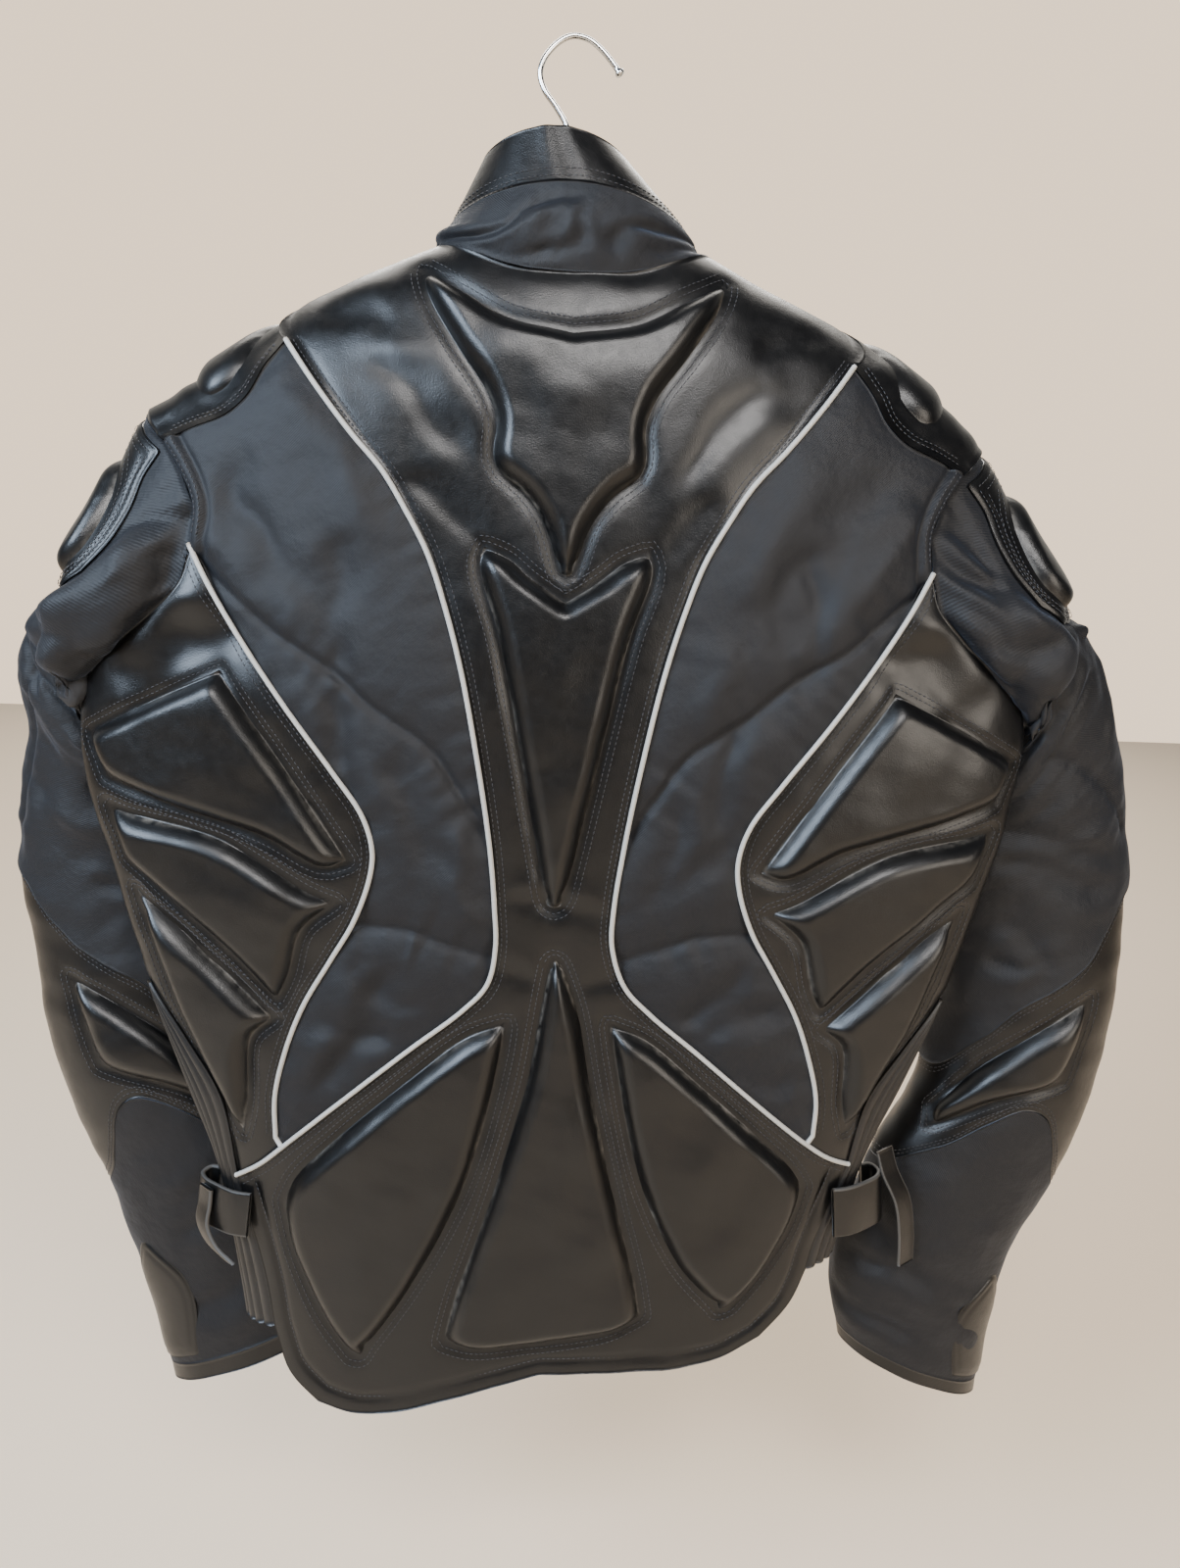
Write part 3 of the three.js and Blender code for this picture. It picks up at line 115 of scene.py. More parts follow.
# Outer and inner edge of each sleeve ring: x, y and drop, and half the ring's depth
SLEEVES = {
    "right": {
        "out_x": [301, 326, 351, 375, 393, 405, 410, 413, 408, 396, 372, 350, 341, 336],
        "out_y": [0, 7, 12, 17, 22, 25, 27, 28, 28, 26, 24, 20, 17, 15],
        "out": [287, 316, 348, 390, 438, 489, 545, 600, 655, 707, 760, 811, 862, 916],
        "in_x": [309, 306, 299, 287, 277, 276, 281, 284, 281, 268, 246, 229, 219, 228],
        "in_y": [-19, 2, 14, 22, 28, 31, 32, 31, 30, 26, 23, 20, 17, 15],
        "in": [401, 420, 441, 467, 497, 527, 562, 602, 642, 682, 722, 772, 822, 874],
        "deep": [43, 42, 41, 40, 40, 40, 41, 42, 41, 40, 38, 36, 33, 29],
    },
    "left": {
        "out_x": [291, 306, 333, 357, 358, 368, 373, 367, 361, 345, 323, 306, 290, 275],
        "out_y": [0, 9, 16, 22, 30, 36, 39, 39, 37, 34, 34, 33, 31, 28],
        "out": [290, 321, 347, 380, 425, 482, 535, 590, 642, 702, 754, 806, 860, 922],
        "in_x": [310, 308, 298, 277, 259, 249, 246, 242, 235, 222, 203, 187, 172, 165],
        "in_y": [-19, 5, 22, 34, 43, 47, 47, 45, 41, 36, 38, 39, 37, 33],
        "in": [401, 421, 443, 467, 492, 519, 549, 585, 627, 670, 711, 757, 812, 884],
        "deep": [42, 38, 35, 36, 34, 33, 33, 34, 34, 33, 30, 28, 26, 25],
    },
}
RINGS = len(SLEEVES["right"]["deep"])
# Where the elbow leather starts and ends along a sleeve
ELBOW = {
    "around": [0, 36, 54, 72, 90, 108, 126, 162, 234, 306, 360],
    "top": [6.5, 6.8, 7.2, 7.6, 7.9, 8.2, 8.7, 9.5, 9.0, 7.4, 6.5],
    "low": [11.1, 10.8, 10.4, 9.9, 9.8, 10.15, 10.7, 11.3, 11.1, 11.0, 11.1],
}
ELBOW_SHIFT = {"right": -0.2, "left": 0.2}

# Seam lines of one half of the back, as (x, drop)
LINES = {
    "neck_back": [(81, 121), (60, 132), (33, 141), (0, 143)],
    "patch_back": [(168, 187), (180, 203), (189, 219), (203, 231), (222, 238), (242, 246)],
    "arm_upper": [(242, 246), (230, 264), (222, 283), (224, 306)],
    "arm_lower": [(224, 306), (230, 328), (246, 345), (270, 366), (303.5, 396)],
    "piping_long": [
        (168, 187), (148, 214), (127, 240), (109, 260), (95, 282), (82, 306), (72, 334), (61, 374),
        (50, 430), (42, 480), (37.5, 522), (37, 548), (44, 574), (60, 592), (94, 620), (135, 655),
        (172, 687)],
    "piping_tail": [(172, 687), (189, 701), (207, 712)],
    "piping_short": [
        (224, 306), (211, 331), (190, 365), (167, 399), (138, 439), (120, 466), (114, 488),
        (116, 507), (126, 535), (141, 561), (159, 593), (171, 625), (178, 655), (178, 682)],
    "rib_back": [(264, 588), (238, 624), (216, 660), (207, 712)],
    "tail_seam": [(207, 712), (195, 748), (187, 776), (181, 804)],
    "tail_edge": [(181, 804), (171, 830), (150, 851)],
    "tail_hem": [(150, 851), (125, 860), (98, 862), (60, 857), (0, 849)],
}
QUILT_SEAMS = [
    [(217, 318), (191, 340), (175, 354), (147, 372), (134, 381), (115, 398), (98, 409), (78, 424),
     (62, 448), (45, 474)],
    [(125, 538), (90, 540), (72, 547), (42, 557)],
]
COLLAR = {
    "cx": [-5.5, -4, -13], "half": [78.5, 73, 45], "back": [-52, -46, -38], "front": [56, 52, 45],
    "drop_back": [119, 94, 62], "drop_side": [116, 109, 72], "drop_front": [160, 140, 108],
}

# Raised pads of the back: the edges of each one's right half, or of the right one of a pair
CENTRE_PADS = {
    "pad_upper": {
        "top": [(90, 142), (65, 156), (36, 171), (0, 177)],
        "side": [(90, 142), (88, 152), (83, 164), (67, 189), (50, 213), (44, 230), (45, 248),
                 (42, 257), (25, 271), (13, 289), (6, 311)],
        "bottom": [(6, 311), (4, 316), (0, 318)],
    },
    "pad_middle": {
        "top": [(49, 301), (34, 307), (20, 318), (0, 331)],
        "side": [(49, 301), (52, 312), (40, 352), (28, 408), (17, 464), (7, 515)],
        "bottom": [(7, 515), (4, 521), (0, 523)],
    },
    "pad_tail": {
        "top": [(4, 561), (2, 558), (0, 557)],
        "side": [(4, 561), (11, 587), (21, 642), (33, 690), (45, 734), (60, 784), (67, 816)],
        "bottom": [(67, 816), (45, 824), (0, 826)],
    },
}
PAIRED_PADS = {
    "pad_waist": {
        "top": [(33, 600), (58, 610), (92, 638), (133, 675), (165, 707), (175, 725)],
        "bottom": [(117, 816), (121, 822), (128, 821)],
        "left": [(33, 600), (36, 622), (57, 710), (88, 776), (117, 816)],
        "right": [(175, 725), (167, 757), (148, 795), (128, 821)],
    },
    "pad_side_upper": {
        "top": [(207, 380), (250, 400), (293, 422)],
        "bottom": [(128, 496), (145, 501), (183, 482), (237, 466), (265, 456), (282, 450)],
        "left": [(207, 380), (168, 436), (128, 496)],
        "right": [(293, 422), (282, 450)],
    },
    "pad_side_middle": {
        "top": [(136, 523), (152, 517), (210, 484), (267, 472), (283, 467)],
        "bottom": [(176, 592), (206, 560), (241, 529), (261, 511), (272, 503)],
        "left": [(136, 523), (158, 542), (168, 575), (176, 592)],
        "right": [(283, 467), (272, 503)],
    },
    "pad_side_lower": {
        "top": [(178, 603), (242, 543), (261, 529), (268, 522)],
        "bottom": [(202, 683), (219, 652), (244, 598), (256, 560), (264, 538)],
        "left": [(178, 603), (193, 617), (197, 661), (202, 683)],
        "right": [(268, 522), (264, 538)],
    },
}


# ------------------------------------------------------------------ curves and tables
def smooth_column(table, by, name, at):
    """The value of a table's column between its rows, on a smooth curve."""
    xs, ys = np.array(table[by], float), np.array(table[name], float)
    at = np.clip(np.asarray(at, float), xs[0], xs[-1])
    last = len(xs) - 1
    row = np.arange(last + 1)
    before, after = np.maximum(row - 1, 0), np.minimum(row + 1, last)
    slope = (ys[after] - ys[before]) / (xs[after] - xs[before])
    i = np.clip(np.searchsorted(xs, at) - 1, 0, last - 1)
    span = xs[i + 1] - xs[i]
    t = (at - xs[i]) / span
    return ((2 * t**3 - 3 * t**2 + 1) * ys[i] + (t**3 - 2 * t**2 + t) * span * slope[i]
            + (3 * t**2 - 2 * t**3) * ys[i + 1] + (t**3 - t**2) * span * slope[i + 1])


def length_along(line):
    return np.concatenate([[0], np.cumsum(np.linalg.norm(np.diff(line, axis=0), axis=1))])


def read_at(data, length, at):
    """Rows of a line's data at given lengths along it."""
    return np.stack([np.interp(at, length, data[:, k]) for k in range(data.shape[1])], -1)


def even_steps(line, count):
    """A line cut into equal steps, with straight runs between its points."""
    length = length_along(line)
    return read_at(line, length, np.linspace(0, length[-1], count + 1))


def steps(points, count):
    """A smooth line through points of any dimension, cut into equal steps."""
    p = np.array(points, float)
    if len(p) > 2:
        first, last = 2 * p[0] - p[1], 2 * p[-1] - p[-2]
        q = np.vstack([first, p, last])
        fine = []
        for i in range(1, len(q) - 2):
            a, b, c, d = q[i - 1], q[i], q[i + 1], q[i + 2]
            ka, kb, kc = (np.linalg.norm(m - n) ** 0.5 for m, n in ((b, a), (c, b), (d, c)))
            start = ((b - a) / ka - (c - a) / (ka + kb) + (c - b) / kb) * kb
            end = ((c - b) / kb - (d - b) / (kb + kc) + (d - c) / kc) * kb
            t = np.linspace(0, 1, 17)[:-1, None]
            fine.append(b + start * t + (3 * (c - b) - 2 * start - end) * t**2
                        + (2 * (b - c) + start + end) * t**3)
        p = np.vstack(fine + [p[-1:]])
    return even_steps(p, count)


def join(*lines):
    """Lines joined end to end, without the doubled points."""
    return np.vstack([lines[0]] + [line[1:] for line in lines[1:]])


def mirrored(line, sign):
    return np.asarray(line, float) * np.array([sign, 1.0])


END_FADE = 3


def coons(top, bottom, left, right):
    """Places between four lines that meet at their ends. The shape of the first two fades out
    over the rows near them."""
    s, t = np.linspace(0, 1, len(top))[None, :], np.linspace(0, 1, len(left))[:, None]
    near_top, near_bottom = (1 - t) ** END_FADE, t ** END_FADE

    def share(line):
        width = line[-1, 0] - line[0, 0]
        return s if abs(width) < 1e-6 else ((line[:, 0] - line[0, 0]) / width)[None, :]

    across = s + near_top * (share(top) - s) + near_bottom * (share(bottom) - s)
    bow = [line[None, :, 1] - (1 - s) * line[0, 1] - s * line[-1, 1] for line in (top, bottom)]
    u = (1 - across) * left[:, :1] + across * right[:, :1]
    v = (1 - s) * left[:, 1:] + s * right[:, 1:] + near_top * bow[0] + near_bottom * bow[1]
    return np.stack([u, v], -1)


# ------------------------------------------------------------------ the surfaces
def body(name, drop):
    return smooth_column(BODY, "drop", name, drop)


def back_or_front(c, drop, suffix=""):
    """The value of a back column where c is positive, and of its front column elsewhere."""
    return np.where(c >= 0, body("back" + suffix, drop), body("front" + suffix, drop))


def section_x(turn, drop):
    angle = turn * np.pi / 2
    power = 2 / back_or_front(np.cos(angle), drop, "_round")
    return body("half", drop) * np.sign(np.sin(angle)) * np.abs(np.sin(angle)) ** power


def body_point(places):
    """Points of the body at (turn, drop) places: turn is 0 at the centre back and 2 in front."""
    turn, drop = places[..., 0], places[..., 1]
    c = np.cos(turn * np.pi / 2)
    power = 2 / back_or_front(c, drop, "_round")
    side = body("side", drop)
    middle = back_or_front(c, drop)
    x = section_x(turn, drop)
    y = side + (middle - side) * np.abs(c) ** power
    lean = smooth_column(SETTLE, "drop", "lean", drop) * np.maximum(0, 1 - np.abs(x) / LEAN_REACH)
    z = smooth_column(SETTLE, "drop", "shear", drop) * x - drop
    return np.stack([x + lean + GARMENT_X, y, z], -1)


def turn_at(x, drop, on_front=False):
    share = np.minimum(np.abs(x) / body("half", drop), 1)
    turn = np.arcsin(share ** (body("front_round" if on_front else "back_round", drop) / 2))
    turn = turn / (np.pi / 2)
    return np.where(np.asarray(x) < 0, -1.0, 1.0) * (2 - turn if on_front else turn)


def places_on(flat, on_front=False):
    """(x, drop) points as (turn, drop) places."""
    flat = np.asarray(flat, float)
    return np.stack([turn_at(flat[..., 0], flat[..., 1], on_front), flat[..., 1]], -1)


ARMHOLE_TIP = (242.0, 246.0)
ARMHOLE_STEPS = 10


def armhole(on_front):
    """One half of the armhole, from the shoulder tip to the underarm."""
    edge = float(turn_at(ARMHOLE_TIP[0], ARMHOLE_TIP[1], on_front))
    top = np.array([[1, 224], [(1 + edge) / 2, 232], [edge, ARMHOLE_TIP[1]]])
    upper = places_on(steps(LINES["arm_upper"], 3), on_front)
    lower = places_on(steps(LINES["arm_lower"], 5), on_front)
    return join(top, upper, lower)


ARMHOLE = {"back": armhole(False), "front": armhole(True)}


def through_rings(ring, last, along):
    """Points along smooth lines through ring(0) ... ring(last)."""
    low = np.clip(np.floor(along), 0, last - 1).astype(int)
    t = (along - low)[..., None]
    before, start, end, after = (ring(np.clip(low + k, 0, last)) for k in (-1, 0, 1, 2))
    slope_start = (end - before) * np.where(low == 0, 1, 0.5)[..., None]
    slope_end = (after - start) * np.where(low + 1 >= last, 1, 0.5)[..., None]
    return ((2 * t**3 - 3 * t**2 + 1) * start + (t**3 - 2 * t**2 + t) * slope_start
            + (3 * t**2 - 2 * t**3) * end + (t**3 - t**2) * slope_end)


def sleeve_point(side):
    """The function that gives points of a sleeve at (around, along) places."""
    sign = 1 if side == "right" else -1
    table = {name: np.array([0] + column, float) for name, column in SLEEVES[side].items()}

    def armhole_point(around):
        step = np.mod(around / (180 / ARMHOLE_STEPS), 2 * ARMHOLE_STEPS)
        place = np.where(step <= ARMHOLE_STEPS, step, 2 * ARMHOLE_STEPS - step)
        low = np.minimum(np.floor(place), ARMHOLE_STEPS - 1).astype(int)
        mix = (place - low)[..., None]
        half = [line[low] * (1 - mix) + line[low + 1] * mix for line in ARMHOLE.values()]
        where = np.where((step <= ARMHOLE_STEPS)[..., None], half[0], half[1])
        return body_point(mirrored(where, sign))

    def point(places):
        around, along = places[..., 0], places[..., 1]
        c, s = np.cos(np.radians(around)), np.sin(np.radians(around))
        start = armhole_point(around)

        def ring(k):
            def mid(a, b):
                return (table[a][k] + table[b][k]) / 2 + (table[a][k] - table[b][k]) / 2 * c
            at = np.stack([sign * mid("out_x", "in_x") + GARMENT_X,
                           mid("out_y", "in_y") - table["deep"][k] * s, -mid("out", "in")], -1)
            return np.where((k == 0)[..., None], start, at)

        return through_rings(ring, RINGS, along)

    return point


NECK = join(
    places_on(steps(LINES["neck_back"], 6))[::-1],
    steps([(1, 121), (1.45, 148), (float(turn_at(ZIP_HALF, NECK_FRONT, True)), NECK_FRONT)], 5),
)
NECK_STEPS = len(NECK) - 1


def collar_point(places):
    """Points of the collar: column counts steps from the centre back, along counts rings."""
    column, along = places[..., 0], places[..., 1]
    place = np.minimum(np.abs(column), NECK_STEPS)
    turn, drop = (np.interp(place, np.arange(NECK_STEPS + 1), NECK[:, k]) for k in (0, 1))
    turn = np.sign(column) * turn
    s, c = np.sin(turn * np.pi / 2), np.cos(turn * np.pi / 2)
    start = body_point(np.stack([turn, drop], -1))
    table = {name: np.array([0] + values, float) for name, values in COLLAR.items()}

    def ring(k):
        depth = np.where(c >= 0, -table["back"][k], table["front"][k])
        end = np.where(c >= 0, table["drop_back"][k], table["drop_front"][k])
        fall = table["drop_side"][k] + (end - table["drop_side"][k]) * c * c
        at = np.stack([table["cx"][k] + table["half"][k] * s + GARMENT_X, -depth * c, -fall], -1)
        return np.where((k == 0)[..., None], start, at)

    return through_rings(ring, len(COLLAR["cx"]), along)


class Surface:
    """Points and outward normals of a surface, and the flat coordinates of its places in mm."""

    def __init__(self, point, step, outward, flat):
        self.point, self.step, self.outward, self.flat = point, np.array(step, float), outward, flat

    def normal(self, places):
        across = self.point(places + self.step * [1, 0]) - self.point(places - self.step * [1, 0])
        down = self.point(places + self.step * [0, 1]) - self.point(places - self.step * [0, 1])
        n = np.cross(across, down) * self.outward
        return n / np.maximum(np.linalg.norm(n, axis=-1, keepdims=True), 1e-9)


AROUND_MM, ALONG_MM = 0.85, 50.0          # about one degree and one ring of a sleeve
SLEEVE_MM = np.array([AROUND_MM, ALONG_MM])
COLLAR_STEP, COLLAR_RING = 19.0, 24.0     # one step round the collar, and one ring of it
COLLAR_MM = np.array([COLLAR_STEP, COLLAR_RING])


def sleeve_flat(places):
    return places * SLEEVE_MM


def collar_flat(places):
    return places * COLLAR_MM


def body_flat(places):
    """Flat coordinates that keep running past the side seam: x on the back, and on beyond it."""
    x = section_x(places[..., 0], places[..., 1])
    half = body("half", places[..., 1])
    front = np.abs(places[..., 0]) > 1
    return np.stack([np.where(front, np.sign(x) * (2 * half - np.abs(x)), x), places[..., 1]], -1)


BODY_SURFACE = Surface(body_point, (0.004, 1.0), -1, body_flat)
COLLAR_SURFACE = Surface(collar_point, (0.05, 0.05), 1, collar_flat)
SIDES = (("right", 1), ("left", -1))
SLEEVE_SURFACE = {side: Surface(sleeve_point(side), (2.0, 0.05), sign, sleeve_flat)
                  for side, sign in SIDES}


# ------------------------------------------------------------------ relief: folds and seams
def distance_to(flat, line):
    """Distance from flat points to a line, and how far along the line the nearest place is."""
    p = np.asarray(flat, float).reshape(-1, 2)
    best, along, start = np.full(len(p), 1e9), np.zeros(len(p)), 0.0
    line = np.asarray(line, float)
    for a, b in zip(line[:-1], line[1:]):
        step = b - a
        length = max(float(np.hypot(*step)), 1e-6)
        t = np.clip((p - a) @ step / length**2, 0, 1)
        away = np.hypot(p[:, 0] - a[0] - t * step[0], p[:, 1] - a[1] - t * step[1])
        nearer = away < best
        best = np.where(nearer, away, best)
        along = np.where(nearer, start + t * length, along)
        start += length
    return best.reshape(flat.shape[:-1]), along.reshape(flat.shape[:-1])


def nearest(flat, lines):
    return np.min([distance_to(flat, line)[0] for line in lines], axis=0)


def inside(flat, outline):
    """True for flat points within a closed outline."""
    x, y = flat[..., 0], flat[..., 1]
    hit = np.zeros(x.shape, bool)
    for (ax, ay), (bx, by) in zip(outline, np.roll(outline, -1, axis=0)):
        if ay == by:
            continue
        hit ^= ((ay > y) != (by > y)) & (x < (bx - ax) * (y - ay) / (by - ay) + ax)
    return hit


def bell(values, width, at=0.0, power=2):
    """1 where values are at a given place, and smoothly down to 0 on both sides of it."""
    return np.exp(-((values - at) / width) ** power)


def ripple(flat, size, seed, waves=18):
    """Smooth noise of about -1 to 1, made of waves about `size` mm long in all directions."""
    rng = np.random.default_rng(seed)
    angle = rng.uniform(0, 2 * np.pi, waves)
    k = 2 * np.pi / (size * rng.uniform(0.7, 1.7, waves))
    phase = rng.uniform(0, 2 * np.pi, waves)
    total = sum(np.cos(k[i] * (flat[..., 0] * np.cos(angle[i]) + flat[..., 1] * np.sin(angle[i]))
                       + phase[i]) for i in range(waves))
    return total * 0.8 / math.sqrt(waves)


def crease(flat, start, end, bow, width, height, seed):
    """A soft uneven trough with a swell beside it, or a ridge where height is positive."""
    a, step = np.array(start, float), np.array(end, float) - np.array(start, float)
    length = float(np.hypot(*step))
    near = flat - a
    t = near @ step / length**2
    side = (near[..., 0] * step[1] - near[..., 1] * step[0]) / length - 4 * bow * t * (1 - t)
    side = side + 0.35 * width * ripple(flat, 45, seed)
    fade = np.clip(np.minimum(t + 0.12, 1.12 - t) * 3.2, 0, 1)
    fade = fade * fade * (3 - 2 * fade)
    form = bell(side, width)
    if height < 0:
        form = form - 0.45 * bell(side, 1.3 * width, 2 * width)
    return height * form * fade * (1 + 0.25 * ripple(flat, 60, seed + 1))


def creases(flat, rows, seed):
    return sum(crease(flat, *row, seed + 2 * i) for i, row in enumerate(rows))


def puckers(flat, line, reach, size, height, seed):
    """Small gathers that run away from a seam."""
    away, along = distance_to(flat, line)
    wave = ripple(np.stack([along, np.full_like(along, 7)], -1), size, seed, 9)
    return height * wave * np.exp(-away / reach) * (1 - np.exp(-away / 2.5))


def seam_dip(flat, lines, depth, reach):
    """The cloth turns in where it is sewn."""
    return -depth * np.exp(-nearest(flat, lines) / reach)


def soft_least(values, rounding):
    """The least of several distances, rounded where two are alike."""
    return -rounding * np.log(sum(np.exp(-np.minimum(v, 400) / rounding) for v in values))


# ------------------------------------------------------------------ pads and their outlines
EDGE_STEPS = 24


def centre_pad_edges(name):
    half = {key: steps(line, EDGE_STEPS) for key, line in CENTRE_PADS[name].items()}
    across = {key: join(mirrored(half[key], -1), half[key][::-1]) for key in ("top", "bottom")}
    return {"top": across["top"], "bottom": across["bottom"],
            "left": mirrored(half["side"], -1), "right": half["side"]}


def paired_pad_edges(name, sign):
    return {key: mirrored(steps(line, EDGE_STEPS), sign) for key, line in PAIRED_PADS[name].items()}


def outline_of(edges):
    """The closed line around a piece, from its four edges."""
    return join(edges["top"], edges["right"], edges["bottom"][::-1], edges["left"][::-1])


BACK_PADS = {name: centre_pad_edges(name) for name in CENTRE_PADS}
for side_name, side_sign in SIDES:
    BACK_PADS[f"pad_waist_{side_name}"] = paired_pad_edges("pad_waist", side_sign)
SIDE_PADS = {side_name: {f"{name}_{side_name}": paired_pad_edges(name, side_sign)
                         for name in PAIRED_PADS if name != "pad_waist"}
             for side_name, side_sign in SIDES}


def channel(flat, pads, depth=1.8, width=5.0):
    """The sunk channel that runs round each pad."""
    away = nearest(flat, [outline_of(edges) for edges in pads.values()])
    return -depth * bell(away, width)


# ------------------------------------------------------------------ relief of each panel
HEM_ROW = 11.0                   # the hem's stitching is this far in from the edge
LINE_STEPS = 40


def whole(name, sign=1):
    return mirrored(steps(LINES[name], LINE_STEPS), sign)


def tail_rim():
    half = join(whole("tail_seam"), whole("tail_edge"), whole("tail_hem"))
    return join(half, mirrored(half, -1)[::-1])


TAIL_RIM = tail_rim()


# Creases of the body: start, end, bow, width and height of each
BACK_CREASES = [
    ((-120, 200), (-60, 250), 8, 9, -1.6), ((118, 205), (66, 262), -8, 9, -1.6),
    ((-95, 262), (-50, 300), 5, 7, -1.2), ((92, 270), (58, 305), -5, 7, -1.2),
    ((-30, 520), (34, 532), 4, 6, -1.6), ((-60, 560), (-12, 574), 3, 6, -1.0),
    ((60, 565), (16, 578), -3, 6, -1.0), ((-150, 170), (-105, 178), 3, 8, -1.2),
    ((150, 172), (108, 182), -3, 8, -1.2), ((-60, 130), (50, 138), -5, 7, -1.4),
]


def back_centre_relief(flat):
    lines = [whole(name, sign) for name in ("piping_long", "piping_tail") for _, sign in SIDES]
    rim = distance_to(flat, TAIL_RIM)[0]
    upper = bell(flat[..., 1], 130, 240)
    relief = channel(flat, BACK_PADS) + seam_dip(flat, lines, 1.2, 4)
    relief += 1.1 * ripple(flat, 120, 11) * (0.4 + upper) + 0.35 * ripple(flat, 38, 12)
    relief += 0.9 * bell(rim, 9, power=4) - 1.2 * bell(rim, 2.2, HEM_ROW)
    return relief + creases(flat, BACK_CREASES, 20)


TEXTILE_CREASES = {
    "right": [
        ((196, 250), (128, 352), -10, 13, -2.6), ((150, 236), (96, 330), 6, 16, 1.8),
        ((146, 300), (150, 378), 5, 9, -2.4), ((108, 402), (100, 470), -4, 9, -2.2),
        ((74, 452), (60, 520), 4, 9, -2.0), ((118, 470), (72, 520), -5, 10, -1.8),
        ((120, 556), (82, 602), 5, 10, -3.0), ((150, 590), (96, 606), -5, 9, -2.2),
        ((160, 640), (118, 632), 4, 9, -2.2), ((206, 268), (176, 330), 6, 10, 1.8),
        ((96, 350), (84, 410), 5, 12, 1.6),
    ],
    "left": [
        ((200, 256), (142, 340), 8, 14, -2.8), ((170, 214), (112, 300), -8, 16, 1.8),
        ((128, 300), (134, 380), 5, 10, -2.2), ((136, 392), (140, 470), -4, 9, -2.8),
        ((96, 424), (70, 500), 6, 10, -2.2), ((122, 470), (126, 528), 3, 8, -2.0),
        ((104, 560), (150, 650), -8, 10, -3.2), ((126, 556), (92, 596), 5, 9, -2.0),
        ((154, 606), (104, 618), -4, 8, -2.0), ((60, 470), (52, 540), 3, 9, 1.8),
        ((212, 300), (180, 344), 5, 10, 1.8),
    ],
}
BINDING = 4.4                    # the middle of the armhole's binding is this far from the seam


def back_textile_relief(side, sign):
    seed = 40 if side == "right" else 80

    def relief(flat):
        flat = mirrored(flat, sign)
        edges = [whole(name) for name in ("piping_long", "piping_short", "patch_back", "arm_upper")]
        away = nearest(flat, edges)
        total = 4.2 * (1 - np.exp(-away / 17)) + 0.5 * ripple(flat, 70, seed) * np.tanh(away / 15)
        for i, seam in enumerate(QUILT_SEAMS):
            line = steps(seam, LINE_STEPS)
            near = distance_to(flat, line)[0]
            total -= 2.6 * bell(near, 3.2) + 2.8 * bell(near, 14)
            total += puckers(flat, line, 13, 13, 1.3, seed + i)
        for i, line in enumerate(edges[:2]):
            total += puckers(flat, line, 11, 15, 1.1, seed + 5 + i)
        bound = distance_to(flat, edges[3])[0]
        total += 2.6 * bell(bound, 3.6, BINDING, 4)
        total -= 1.4 * bell(bound, 2, 10)
        total += 1.5 * creases(flat, TEXTILE_CREASES[side], seed + 10) * np.tanh(away / 8)
        return total

    return relief


# The smooth field above the side pads sags into a hollow
SIDE_CREASES = [
    ((178, 356), (262, 396), 8, 17, -4.2), ((212, 330), (286, 386), 4, 9, 2.2),
    ((150, 466), (210, 452), 3, 7, -1.2),
]


def side_relief(side, sign):
    def relief(flat):
        right = mirrored(flat, sign)
        seams = [whole(name) for name in ("piping_short", "arm_lower", "rib_back")]
        total = channel(flat, SIDE_PADS[side]) + seam_dip(right, seams, 1.2, 4)
        total += 0.8 * ripple(flat, 90, 31) + 0.3 * ripple(flat, 34, 32)
        for seed, row in enumerate(SIDE_CREASES, 33):
            total += crease(right, *row, seed)
        return total

    return relief


FRONT_CREASES = [
    ((540, 260), (330, 430), 20, 26, -4), ((600, 420), (420, 640), -16, 30, 4),
    ((360, 560), (300, 760), 10, 22, -4), ((560, 330), (480, 520), 14, 20, 3),
]


def front_relief(sign):
    def relief(flat):
        right = mirrored(flat, sign)
        total = 1.4 * ripple(flat, 150, 51 + sign) + 0.5 * ripple(flat, 50, 54 + sign)
        for row in FRONT_CREASES:
            total += crease(right, *row, 56)
        return total

    return relief


SHOULDER_SETTLE = {"right": 2.0, "left": -4.5}   # how far each shoulder patch stands up or sinks
# Where the patch meets the back panel and the sleeve
SHOULDER_ENDS = [[(150, 150), (168, 187)], [(242, 246), (259, 224)]]


def shoulder_relief(side, sign):
    """The left shoulder has sunk a little on the hanger, and the right one stands up."""
    def relief(flat):
        right = mirrored(flat, sign)
        seam = distance_to(right, whole("patch_back"))[0]
        away = nearest(right, [whole("patch_back"), *SHOULDER_ENDS])
        keep = np.tanh(away / 12)
        edge = 1.5 * bell(seam, 4, 3) - 0.9 * bell(seam, 2.4, 10)
        return (SHOULDER_SETTLE[side] * keep + edge + 0.7 * ripple(flat, 45, 61)
                + 0.4 * ripple(flat, 20, 62))

    return relief


